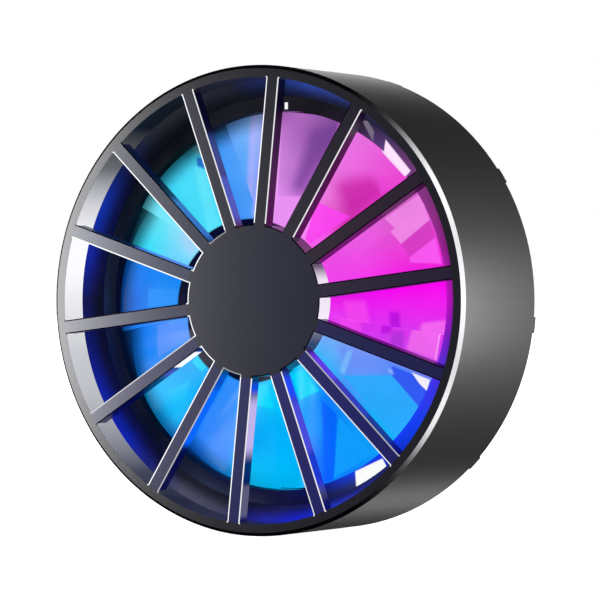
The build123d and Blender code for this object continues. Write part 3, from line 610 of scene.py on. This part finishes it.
def window_colour(tree, scaled):
    """The glow's colour at a place, by window and by distance from the windows' middle."""
    beside = vector_of(tree, "ADD", scaled, (glow_shift, 0, 0))
    share, radius, flat, height = angle_share(tree, beside)
    colour, *others = (angle_ramp(tree, share, glow_stops(reach)) for reach in range(len(glow_radii)))
    for tone, start, end in zip(others, glow_radii, glow_radii[1:]):
        colour = mix_of(tree, eased(tree, radius, start, end), colour, tone)
    return colour


def glowing_blades(name):
    """The impeller's clear plastic: the lamps' glow painted on, painted patches, painted hub shadow and tip
    shade, faint flow marks.
    """
    material, tree, shader, place = blank_material(name)
    scaled = in_millimetres(tree, place)
    share, radius, flat, height = angle_share(tree, scaled)
    colour = with_patches(tree, flat, window_colour(tree, scaled), blade_painted_patches)
    beside = vector_of(tree, "ADD", flat, (glow_shift, 0, 0))
    from_middle = vector_of(tree, "LENGTH", beside, output="Value")
    on_cup = work_out(tree, "LESS_THAN", height, -blade_top / mm)
    on_cup_reach = work_out(tree, "ADD", radius, hub_shadow_radius - cup_shadow_radius)
    cup_more = work_out(tree, "SUBTRACT", on_cup_reach, from_middle)
    reach = work_out(tree, "MULTIPLY_ADD", cup_more, on_cup, from_middle)
    # Painted shadow of the hub over the glow
    shadow_start, shadow_end = hub_shadow_radius - hub_shadow_soft, hub_shadow_radius + hub_shadow_soft
    hub_shadow = eased(tree, reach, shadow_start, shadow_end, 1.0, 0.0, "LINEAR")
    colour = mix_of(tree, hub_shadow, colour, hub_shadow_colour)
    # Painted shade towards the blade tips, by angle
    shade = eased(tree, radius, tip_fade_start, tip_fade_end, high=1 - tip_shade)
    shaded = work_out(tree, "MULTIPLY", level_ramp(tree, share, painted_tip_shade), shade)
    colour = mix_of(tree, shaded, colour, unlit_tip)
    # Painted glow: the lamps' light on the blades, with a faint mottle
    glow(tree, shader, mottled(tree, place, colour, 240.0, 3.0, 0.93))
    tree.links.new(mix_of(tree, 0.98, colour, black), shader.inputs["Base Color"])
    shader.inputs["Specular IOR Level"].default_value = 0.04
    grain(tree, shader, place, 900.0, 0.003 * mm, 0.2, 0.3)
    return material


blade_plastic = glowing_blades("painted_glow_blade_plastic")
impeller = repeated(blade, "impeller_blades", blade_count, 0.0, blade_plastic)
cup = turned(
    [
        (cup_inner_radius, cup_bottom),
        (cup_radius, cup_bottom),
        (cup_radius, cup_top - cup_edge_round),
        (cup_radius - cup_edge_round, cup_top),
        (0, cup_top),
        (0, cup_ceiling),
        (cup_inner_radius, cup_ceiling),
    ],
    cup_segments,
)
cup.from_mesh(impeller.data)
cup.to_mesh(impeller.data)
cup.free()
impeller.data.materials.clear()
impeller.data.materials.append(blade_plastic)
impeller.data.shade_smooth()
impeller.name = "painted_glow_impeller"
rounded_edges(impeller, blade_edge_round, blade_edge_steps)
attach(impeller, "rotor")
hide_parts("impeller")

# Light ring, shroud and lamps: a frosted cone carries the lamps' light round the opening, painted on it as
# glow.
# Inside it the black shroud's lip and duct wall close round the blades, glossy, with their light painted on:
# glow from below and glints.
# The cone's glow round the axis, painted on by angle, with painted highlights in its greyish stops: (angle,
# colour)
cone_painted_glow = [
    (-180, (14, 20, 80)),
    (-166, (8, 22, 116)),
    (-155, (12, 30, 160)),
    (-140, (10, 34, 172)),
    (-129, (30, 34, 104)),
    (-118, (78, 80, 104)),
    (-106, (66, 68, 90)),
    (-98, (20, 20, 110)),
    (-84, (14, 26, 190)),
    (-72, (20, 46, 220)),
    (-45, (14, 48, 242)),
    (-24, (36, 46, 240)),
    (-16, (112, 18, 196)),
    (8, (118, 14, 176)),
    (22, (120, 14, 110)),
    (38, (108, 34, 96)),
    (48, (76, 60, 156)),
    (60, (56, 66, 130)),
    (78, (34, 66, 166)),
    (88, (24, 40, 100)),
    (102, (28, 30, 46)),
    (118, (38, 42, 48)),
    (130, (34, 38, 48)),
    (143, (12, 26, 84)),
    (154, (14, 46, 164)),
    (169, (14, 34, 158)),
    (180, (14, 20, 80)),
]
cone_dark_radius = 29.2
cone_bright_radius = 31.2
cone_dimmest = 0.12
unlit_cone = (0.001, 0.001, 0.004, 1)


def glowing_cone(name):
    """Frosted plastic with its glow painted on by angle, bright at its outer edge and dimmed towards the
    shroud.
    """
    material, tree, shader, place = blank_material(name)
    share, radius, flat, height = angle_share(tree, in_millimetres(tree, place))
    colour = angle_ramp(tree, share, cone_painted_glow)
    fade = eased(tree, radius, cone_dark_radius, cone_bright_radius, low=cone_dimmest)
    lit = mottled(tree, place, colour, 700.0, 4.0, 0.86)
    glow(tree, shader, mix_of(tree, fade, unlit_cone, lit))
    tree.links.new(mix_of(tree, 0.97, colour, black), shader.inputs["Base Color"])
    shader.inputs["Specular IOR Level"].default_value = 0.1
    grain(tree, shader, place, 2400.0, 0.004 * mm, 0.4, 0.5)
    return material


# The painted spill of the glow on the lip round the fan: (angle, colour beside the duct, colour at its
# outside)
lip_painted_spill = [
    (-180, (4, 9, 34), (18, 34, 66)),
    (-165, (3, 9, 36), (6, 20, 58)),
    (-152, (2, 7, 30), (4, 14, 48)),
    (-138, (0, 5, 26), (0, 8, 40)),
    (-124, (2, 8, 32), (16, 20, 46)),
    (-112, (10, 18, 50), (38, 44, 70)),
    (-100, (4, 8, 50), (36, 38, 62)),
    (-90, (2, 4, 52), (4, 6, 52)),
    (-76, (4, 16, 90), (8, 12, 60)),
    (-62, (16, 60, 232), (40, 50, 110)),
    (-50, (10, 54, 240), (10, 40, 190)),
    (-37, (18, 62, 246), (11, 62, 232)),
    (-26, (56, 50, 240), (55, 50, 215)),
    (-12, (120, 30, 200), (76, 28, 150)),
    (0, (196, 8, 200), (80, 18, 96)),
    (15, (160, 32, 152), (96, 15, 92)),
    (26, (146, 48, 140), (120, 40, 105)),
    (40, (124, 50, 130), (110, 60, 116)),
    (51, (96, 60, 130), (70, 50, 96)),
    (62, (44, 28, 52), (32, 28, 38)),
    (76, (14, 10, 20), (12, 8, 18)),
    (92, (20, 20, 30), (26, 26, 32)),
    (104, (14, 16, 26), (16, 18, 26)),
    (118, (8, 10, 18), (8, 10, 16)),
    (130, (6, 12, 18), (6, 8, 14)),
    (142, (2, 8, 22), (6, 10, 22)),
    (155, (2, 8, 26), (6, 14, 30)),
    (169, (4, 9, 32), (14, 24, 44)),
    (180, (4, 9, 34), (18, 34, 66)),
]
# Painted glints on the lip: corners clockwise as seen from the grille, colour, strength and soft edge
lip_painted_glints = [
    ((12.6, -23.9), (16.9, -22.0), (17.6, -23.2), (12.8, -26.4), (250, 252, 250), 1.0, 0.12),
    ((1.3, 28.0), (1.8, 28.0), (1.8, 27.05), (1.3, 27.05), (252, 250, 255), 1.0, 0.06),
    ((17.4, 22.4), (21.3, 18.0), (20.4, 17.1), (17.1, 20.5), (255, 226, 255), 1.0, 0.12),
    ((13.8, 25.0), (14.5, 25.2), (15.6, 23.6), (15.4, 22.2), (126, 116, 136), 0.8, 0.15),
]
lip_inside = 27.0
lip_outside = 28.6
duct_lit_height = 12.2
duct_dark_height = 15.0
duct_glow = 0.55
dark_side_glow = 0.1


def shroud_plastic(name):
    """Glossy black plastic with painted light: the glow on the duct wall near its foot, its spill on the
    lip, and glints.
    """
    material, tree, shader, place = blank_material(name)
    scaled = in_millimetres(tree, place)
    share, radius, flat, height = angle_share(tree, scaled)
    near = angle_ramp(tree, share, [(angle, tone) for angle, tone, dark in lip_painted_spill])
    far = angle_ramp(tree, share, [(angle, dark) for angle, tone, dark in lip_painted_spill])
    across = eased(tree, radius, lip_inside, lip_outside, curve="LINEAR")
    foot = eased(tree, height, -duct_dark_height, -duct_lit_height, high=duct_glow)
    # Painted shade: the duct's glow is dimmed on the side where the tips are shaded
    dark_side = level_ramp(tree, share, painted_tip_shade)
    lit_side = eased(tree, dark_side, 0.0, 1.0, 1.0, dark_side_glow, "LINEAR")
    foot = work_out(tree, "MULTIPLY", foot, lit_side)
    spill = mix_of(tree, foot, mix_of(tree, across, near, far), window_colour(tree, scaled))
    glow(tree, shader, with_patches(tree, flat, spill, lip_painted_glints))
    body = rubbed_colour(tree, place, srgb(4, 4, 8), srgb(6, 6, 12), srgb(10, 10, 16))
    tree.links.new(body, shader.inputs["Base Color"])
    shader.inputs["Specular IOR Level"].default_value = 0.05
    grain(tree, shader, place, 3000.0, 0.004 * mm, 0.4, 0.5)
    return material


nodes["light_ring"].material_slots[0].material = glowing_cone("painted_glow_frosted_plastic")
nodes["fan_shroud"].material_slots[0].material = shroud_plastic("gloss_shroud_plastic")
lamp_lens = moulded_plastic("lamp_lens", srgb(230, 232, 240), srgb(250, 250, 255), 0.1, 0.2)
lens_shader = lamp_lens.node_tree.nodes["Principled BSDF"]
lens_shader.inputs["Emission Color"].default_value = srgb(150, 170, 255)
lens_shader.inputs["Emission Strength"].default_value = 1.0
nodes["lamps"].material_slots[0].material = lamp_lens

# Front grille: bevelled rim, 14 straight spokes and a round hub cap in one satin moulding, clipped
# into the shell. Its cut edges carry painted highlights, and its walls painted light on the side that faces
# the light.
spoke_count = 14
spoke_start_angle = radians(7.06)
spoke_half_width = 0.975 * mm
face_height = 23.0 * mm
seam_height = 22.5 * mm
spoke_bottom = 21.0 * mm
hub_bottom = 19.9 * mm
spigot_end = 18.2 * mm
rim_outer_radius = 33.0 * mm
rim_face_radius = 32.5 * mm
spigot_radius = 32.05 * mm
opening_radius = 31.3 * mm
hub_radius = 10.65 * mm
edge_cut = 0.17 * mm
edge_cut_depth = 0.05 * mm
cut_reach = 2 * edge_cut
sharp_angle = radians(12)
seam = 0.01 * mm
shaded_from = radians(64)
rim_window_steps = 10
rim_spoke_steps = 3
hub_window_steps = 5
hub_spoke_steps = 4


def grille_sector():
    """One fourteenth of the grille, centred on a spoke along +X, open at its two cut sides."""
    shape = bmesh.new()
    half = pi / spoke_count

    def angles(radius, window_steps, spoke_steps):
        edge = asin(spoke_half_width / radius)
        left = [-half + (half - edge) * k / window_steps for k in range(window_steps)]
        middle = [-edge + 2 * edge * k / spoke_steps for k in range(spoke_steps + 1)]
        right = [edge + (half - edge) * (k + 1) / window_steps for k in range(window_steps)]
        return left + middle + right, window_steps, window_steps + spoke_steps

    def arc(radius, height, at):
        return [shape.verts.new(polar(radius, angle, height)) for angle in at]

    def strip(first, second, spans):
        for k in spans:
            shape.faces.new((first[k], first[k + 1], second[k + 1], second[k]))

    rim_at, rim_from, rim_to = angles(opening_radius, rim_window_steps, rim_spoke_steps)
    hub_at, hub_from, hub_to = angles(hub_radius, hub_window_steps, hub_spoke_steps)
    rim_all = range(len(rim_at) - 1)
    hub_all = range(len(hub_at) - 1)
    rim_windows = [k for k in rim_all if not rim_from <= k < rim_to]
    hub_windows = [k for k in hub_all if not hub_from <= k < hub_to]

    rim_face_inner = arc(opening_radius, face_height, rim_at)
    rim_face_outer = arc(rim_face_radius, face_height, rim_at)
    chamfer_foot = arc(rim_outer_radius, seam_height, rim_at)
    shoulder = arc(spigot_radius, seam_height, rim_at)
    spigot_foot = arc(spigot_radius, spigot_end, rim_at)
    wall_foot = arc(opening_radius, spigot_end, rim_at)
    wall_middle = arc(opening_radius, spoke_bottom, rim_at)
    for first, second in (
        (rim_face_inner, rim_face_outer),
        (rim_face_outer, chamfer_foot),
        (chamfer_foot, shoulder),
        (shoulder, spigot_foot),
        (spigot_foot, wall_foot),
        (wall_foot, wall_middle),
    ):
        strip(first, second, rim_all)
    strip(wall_middle, rim_face_inner, rim_windows)

    hub_face = arc(hub_radius, face_height, hub_at)
    hub_middle = arc(hub_radius, spoke_bottom, hub_at)
    hub_foot = arc(hub_radius, hub_bottom, hub_at)
    strip(hub_face, hub_middle, hub_windows)
    strip(hub_middle, hub_foot, hub_all)
    for ring_of_places, height in ((hub_face, face_height), (hub_foot, hub_bottom)):
        shape.faces.new([shape.verts.new((0, -height, 0))] + ring_of_places)

    for hub_side, rim_side in ((hub_face, rim_face_inner), (hub_middle, wall_middle)):
        hub_end = hub_side[hub_from : hub_to + 1]
        rim_end = rim_side[rim_from : rim_to + 1]
        shape.faces.new(hub_end + rim_end[::-1])
    for hub_edge, rim_edge in ((hub_from, rim_from), (hub_to, rim_to)):
        shape.faces.new((
            hub_face[hub_edge],
            hub_middle[hub_edge],
            wall_middle[rim_edge],
            rim_face_inner[rim_edge],
        ))
    return shape


# Painted light and shade on the walls round the rim and round the hub: (angle, colour)
rim_wall_painted_light = [
    (-180, (236, 236, 238)),
    (-166, (202, 203, 207)),
    (-154, (188, 189, 192)),
    (-141, (142, 144, 150)),
    (-129, (66, 69, 80)),
    (-115, (26, 28, 46)),
    (-104, (34, 34, 56)),
    (-88, (16, 22, 50)),
    (-78, (16, 24, 110)),
    (-64, (18, 22, 44)),
    (60, (16, 16, 24)),
    (92, (20, 24, 48)),
    (102, (26, 25, 34)),
    (118, (6, 8, 12)),
    (128, (12, 14, 18)),
    (143, (102, 104, 106)),
    (154, (208, 208, 212)),
    (164, (252, 252, 253)),
    (172, (252, 252, 253)),
    (180, (236, 236, 238)),
]
hub_wall_painted_light = [
    (-180, (14, 14, 60)),
    (-60, (14, 14, 60)),
    (-34, (38, 38, 48)),
    (-24, (110, 110, 118)),
    (-13, (236, 234, 240)),
    (16, (226, 224, 232)),
    (26, (90, 88, 96)),
    (44, (58, 56, 62)),
    (60, (40, 30, 44)),
    (80, (30, 16, 34)),
    (180, (14, 14, 60)),
]
# The painted tinge of the glow on the spokes' faces: (angle, colour)
spoke_painted_tinge = [
    (-180, (0, 0, 46)),
    (-147, (0, 0, 64)),
    (-121, (0, 0, 62)),
    (-95, (0, 3, 75)),
    (-70, (0, 4, 86)),
    (-44, (0, 2, 86)),
    (-19, (0, 0, 64)),
    (7, (20, 0, 34)),
    (33, (23, 0, 22)),
    (58, (12, 0, 19)),
    (84, (0, 0, 12)),
    (110, (0, 0, 26)),
    (136, (0, 14, 44)),
    (161, (0, 22, 58)),
    (180, (0, 0, 46)),
]
# Painted tinge of the glow on the hub cap
hub_painted_tinge = srgb(0, 0, 26)
wall_top = 22.96
# Painted reflections on the spokes' walls: spoke counted anticlockwise from the first, side (1
# anticlockwise), from and to which radius, colour, strength and soft edge
wall_painted_reflections = [
    (4, -1, 11.5, 18.5, (44, 80, 180), 0.9, 1.0),
    (4, -1, 18.5, 24.5, (34, 54, 120), 0.9, 1.0),
    (5, -1, 11.5, 19.5, (50, 100, 180), 0.9, 1.0),
    (6, -1, 11.5, 21.0, (60, 90, 210), 0.9, 0.6),
    (8, 1, 11.9, 16.0, (252, 250, 255), 1.0, 0.25),
    (8, 1, 16.4, 18.5, (70, 40, 170), 0.8, 0.8),
    (9, 1, 11.5, 14.0, (0, 50, 190), 0.9, 0.6),
    (9, 1, 14.0, 23.5, (0, 92, 248), 0.95, 0.8),
    (10, 1, 11.5, 13.0, (10, 50, 215), 0.9, 0.4),
    (10, 1, 13.6, 21.6, (196, 178, 226), 0.95, 1.4),
    (10, 1, 26.0, 30.5, (100, 100, 124), 0.8, 0.5),
    (11, 1, 11.5, 15.0, (20, 50, 240), 0.95, 0.8),
    (11, 1, 15.0, 23.0, (74, 58, 208), 0.95, 1.2),
    (11, 1, 23.0, 28.0, (24, 28, 200), 0.9, 1.0),
    (12, 1, 11.5, 17.0, (66, 44, 220), 0.9, 1.0),
    (12, 1, 17.0, 24.0, (28, 24, 172), 0.9, 1.2),
    (12, 1, 24.0, 29.5, (12, 12, 118), 0.9, 1.0),
]
wall_reach = 0.5
hub_limit = 10.9
rim_limit = 31.0
rim_face_limit = 32.0
bore_limit = 31.4


def wall_patch(spoke, side, start, end, tone, strength, soft):
    """A painted reflection over one wall of a spoke, for with_patches."""
    angle = spoke_start_angle + spoke * 2 * pi / spoke_count
    along = Vector((cos(angle), sin(angle)))
    out = Vector((-sin(angle), cos(angle))) * side
    near = spoke_half_width / mm - wall_reach - soft
    far = spoke_half_width / mm + wall_reach + soft
    places = ((start, far), (end, far), (end, near), (start, near))
    corners = [along * reach + out * beside for reach, beside in places]
    return (*corners[::side], tone, strength, soft)


def grille_plastic(name):
    """The case's satin plastic, with painted light on its inner walls and a painted tinge of the glow."""
    material, tree, shader, place = blank_material(name)
    share, radius, flat, height = angle_share(tree, in_millimetres(tree, place))
    body = rubbed_colour(tree, place, srgb(9, 10, 28), srgb(11, 12, 33), srgb(14, 15, 34))
    tree.links.new(body, shader.inputs["Base Color"])
    below = work_out(tree, "GREATER_THAN", height, -wall_top)
    outside = work_out(tree, "GREATER_THAN", radius, rim_limit)
    bore = work_out(tree, "LESS_THAN", radius, bore_limit)
    inside = work_out(tree, "LESS_THAN", radius, hub_limit)
    between = work_out(tree, "GREATER_THAN", radius, hub_limit)
    # Painted tinge of the glow, with painted reflections on the spokes' walls
    tinge = angle_ramp(tree, share, spoke_painted_tinge)
    wall = with_patches(tree, flat, tinge, [wall_patch(*glint) for glint in wall_painted_reflections])
    tinge = mix_of(tree, below, tinge, wall)
    off_rim = work_out(tree, "LESS_THAN", radius, opening_radius / mm)
    spokes = work_out(tree, "MULTIPLY", between, off_rim)
    painted_light = mix_of(tree, spokes, mix_of(tree, between, hub_painted_tinge, black), tinge)
    # Painted light on the rim's and the hub's inner walls, by angle
    for limits, stops in (((outside, bore), rim_wall_painted_light), ((inside,), hub_wall_painted_light)):
        mask = below
        for limit in limits:
            mask = work_out(tree, "MULTIPLY", mask, limit)
        painted_light = mix_of(tree, mask, painted_light, angle_ramp(tree, share, stops))
    glow(tree, shader, painted_light)
    grain(tree, shader, place, 5200.0, 0.0005 * mm, 0.328, 0.338)
    return material


# Where the cut edges carry a painted highlight: each spoke's two edges, and the hub's, as the angle from
# which the given share of brightness holds
first_side_bright = [(-180, 0), (-134, 0.6), (-108.6, 1), (-57, 0.5), (-31.5, 0), (71, 1), (174, 0)]
second_side_bright = [(-180, 0), (-160, 0.6), (-134.4, 1), (-31.5, 0), (45.6, 1), (123, 0)]
hub_edge_bright = [(-180, 1), (-121.5, 0.4), (-96, 0), (110, 0.3), (135, 1)]
# Painted highlight on the rim's chamfer round the axis: (angle, colour)
rim_cut_painted_highlight = [
    (-180, (4, 4, 6)),
    (-62, (4, 4, 6)),
    (-44, (150, 150, 154)),
    (-34, (244, 244, 246)),
    (40, (244, 244, 246)),
    (50, (150, 150, 154)),
    (64, (4, 4, 6)),
    (180, (4, 4, 6)),
]
cut_bright = srgb(246, 246, 248)
cut_dark = srgb(6, 6, 9)
cut_gleam = 0.95
cut_dullness = 0.98


def painted_highlight_ramp(tree, share, changes):
    """The cut edges' painted highlight round the axis, which changes in steps."""
    stops = [
        ((angle + 180) / 360, [dark + (lit - dark) * bright for dark, lit in zip(cut_dark, cut_bright)])
        for angle, bright in changes
    ]
    return add_ramp(tree, share, stops, "CONSTANT")


def cut_edge_metal(name):
    """Bare metal on the cut edges, with painted highlights by angle and fine turning marks."""
    material, tree, shader, place = blank_material(name)
    shader.inputs["Metallic"].default_value = 1.0
    share, radius, flat, height = angle_share(tree, in_millimetres(tree, place))
    first = painted_highlight_ramp(tree, share, first_side_bright)
    second = painted_highlight_ramp(tree, share, second_side_bright)
    hub = painted_highlight_ramp(tree, share, hub_edge_bright)
    step = work_out(tree, "MULTIPLY", share, spoke_count)
    from_spoke = work_out(tree, "ADD", step, -(spoke_start_angle + pi) * spoke_count / (2 * pi))
    past = work_out(tree, "GREATER_THAN", work_out(tree, "WRAP", from_spoke, 1.0, 0.0), 0.5)
    on_hub = work_out(tree, "LESS_THAN", radius, hub_limit)
    window = mix_of(tree, on_hub, mix_of(tree, past, first, second), hub)
    on_rim = work_out(tree, "GREATER_THAN", radius, rim_face_limit)
    rim = angle_ramp(tree, share, rim_cut_painted_highlight)
    colour = mix_of(tree, on_rim, mix_of(tree, cut_dullness, window, black), rim)
    tree.links.new(mottled(tree, place, colour, 1800.0, 2.0, 0.94), shader.inputs["Base Color"])
    # The window and hub cut edges glow with their painted highlight
    glow(tree, shader, mix_of(tree, on_rim, window, black), cut_gleam)
    grain(tree, shader, place, 2600.0, 0.001 * mm, 0.14, 0.18)
    return material


front_grille = repeated(
    grille_sector(),
    "front_grille_moulding",
    spoke_count,
    spoke_start_angle,
    grille_plastic("satin_grille_plastic"),
)
# The chamfer's far side gets a black finish that reflects nothing: painted shade
painted_shade_cut = moulded_plastic("painted_shade_cut_edge", srgb(6, 6, 9), srgb(9, 9, 12), 0.6, 0.7)
painted_shade_cut.node_tree.nodes["Principled BSDF"].inputs["Specular IOR Level"].default_value = 0.0
front_grille.data.materials.append(cut_edge_metal("painted_highlight_cut_edge"))
front_grille.data.materials.append(painted_shade_cut)
whole = bmesh.new()
whole.from_mesh(front_grille.data)
bmesh.ops.recalc_face_normals(whole, faces=whole.faces)
# Chamfer faces take the painted highlight finish, and past an angle the painted shade finish
for face in whole.faces:
    middle = face.calc_center_median()
    if hypot(middle.x, middle.z) > rim_face_radius - seam and -face_height < middle.y < -seam_height:
        face.material_index = 2 if abs(atan2(middle.z, middle.x)) > shaded_from else 1
window_edges = [
    edge
    for edge in whole.edges
    if edge.calc_face_angle() > sharp_angle
    and all(abs(vertex.co.y + face_height) < seam for vertex in edge.verts)
    and any(hypot(vertex.co.x, vertex.co.z) < opening_radius - seam for vertex in edge.verts)
]
bmesh.ops.bevel(
    whole,
    geom=window_edges,
    offset=edge_cut,
    segments=1,
    profile=0.5,
    affect="EDGES",
    clamp_overlap=False,
    material=1,
)
for vertex in whole.verts:
    depth = vertex.co.y + face_height
    if seam < depth < cut_reach and hypot(vertex.co.x, vertex.co.z) < opening_radius + seam:
        vertex.co.y = edge_cut_depth - face_height
for edge in whole.edges:
    edge.smooth = edge.calc_face_angle(pi) < sharp_angle
for face in whole.faces:
    face.smooth = True
whole.to_mesh(front_grille.data)
whole.free()
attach(front_grille, "case")
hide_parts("front_grille")

# Studio: a pale floor under the drum, a white backdrop that only the view shows, softboxes whose
# reflections draw the drum's gradients, and the camera at the photograph's angle.
floor_height = -33.0 * mm
floor_size = 6.0
floor_shape = bmesh.new()
corners = [(x * floor_size, y * floor_size) for x, y in ((-1, -1), (1, -1), (1, 1), (-1, 1))]
floor_shape.faces.new([floor_shape.verts.new((x, y, floor_height)) for x, y in corners])
floor = piece_from(floor_shape, "studio_floor")
floor_finish, tree, shader, place = blank_material("pale_floor")
shader.inputs["Base Color"].default_value = (0.82, 0.82, 0.82, 1)
shader.inputs["Roughness"].default_value = 0.9
shader.inputs["Specular IOR Level"].default_value = 0.0
rays = add_node(tree, "LightPath", {}).outputs
seen = work_out(tree, "MAXIMUM", rays["Is Camera Ray"], rays["Is Transmission Ray"])
lift = add_node(tree, "Emission", {"Color": white, "Strength": seen})
both = add_node(tree, "AddShader", {0: shader.outputs[0], 1: lift.outputs[0]})
tree.links.new(both.outputs[0], tree.nodes["Material Output"].inputs["Surface"])
floor.data.materials.append(floor_finish)
floor.visible_glossy = False

world = bpy.data.worlds.new("studio")
bpy.context.scene.world = world
world.use_nodes = True
tree = world.node_tree
background = tree.nodes["Background"]
direction = add_node(tree, "TexCoord", {}).outputs["Generated"]

# Soft lights round the drum that its sheen shows: (direction from the drum, spread, level)
soft_lights = [
    ((0.75, 0.05, 0.66), 0.25, 1.0),
    ((-0.75, 0.05, 0.66), 0.25, 1.0),
    ((0.486, 0.874, -0.04), 0.29, 0.84),
    ((-0.217, 0.874, -0.435), 0.05, 2.5),
    ((-0.446, 0.874, 0.193), 0.105, 2.1),
    ((0.874, -0.486, 0.0), 0.28, 1.25),
    ((0.65, -0.43, 0.62), 0.2, 1.0),
    ((0.65, -0.43, -0.62), 0.2, 1.0),
    ((-0.87, 0.40, 0.0), 0.22, 1.7),
    ((-0.75, 0.25, -0.6), 0.2, 1.6),
    ((-0.83, 0.29, 0.47), 0.15, 1.4),
]
mirrored = 0.05
for aim, spread, level in soft_lights:
    away = vector_of(tree, "DISTANCE", direction, Vector(aim).normalized(), output="Value")
    power = work_out(tree, "MULTIPLY", work_out(tree, "MULTIPLY", away, away), -0.5 / spread**2)
    bell = work_out(tree, "EXPONENT", power)
    mirrored = work_out(tree, "MULTIPLY_ADD", bell, level, mirrored)
rays = add_node(tree, "LightPath", {}).outputs
seen = work_out(tree, "MAXIMUM", rays["Is Camera Ray"], rays["Is Transmission Ray"])
sheen = work_out(tree, "MULTIPLY", rays["Is Glossy Ray"], mirrored)
fill_level = 1.0
fill = work_out(tree, "MULTIPLY", rays["Is Diffuse Ray"], fill_level)
strength = work_out(tree, "MAXIMUM", work_out(tree, "MAXIMUM", seen, sheen), fill)
tree.links.new(strength, background.inputs["Strength"])
background.inputs["Color"].default_value = white


def softbox(name, place, aim, width, height, radiance):
    """A softbox that only shows in the drum's sheen, with the brightness of its face."""
    lamp = bpy.data.lights.new(name, "AREA")
    lamp.shape = "RECTANGLE"
    lamp.size = width
    lamp.size_y = height
    lamp.energy = radiance * pi * width * height
    box = bpy.data.objects.new(name, lamp)
    box.location = place
    box.rotation_euler = (Vector(aim) - Vector(place)).to_track_quat("-Z", "Y").to_euler()
    box.visible_camera = False
    box.visible_diffuse = False
    bpy.context.scene.collection.objects.link(box)


softbox(
    "left_softbox",
    place=(-0.067, -0.040, 0.0028),
    aim=(-0.030, -0.023, 0.0),
    width=0.0576,
    height=0.0711,
    radiance=16.5,
)
softbox(
    "rear_right_softbox",
    place=(0.1049, 0.0300, -0.0084),
    aim=(0.033, -0.012, 0.0),
    width=0.0317,
    height=0.0606,
    radiance=42.7,
)

camera_place = (0.24690, -0.45351, 0.00008)
camera_turn = radians(29.0728)
camera_lens = 212.87
sensor_width = 36.0
lens = bpy.data.cameras.new("camera")
lens.lens = camera_lens
lens.sensor_width = sensor_width
camera = bpy.data.objects.new("camera", lens)
camera.location = camera_place
camera.rotation_euler = (pi / 2, 0.0, camera_turn)
bpy.context.scene.collection.objects.link(camera)
bpy.context.scene.camera = camera
bpy.context.scene.view_settings.view_transform = "Standard"
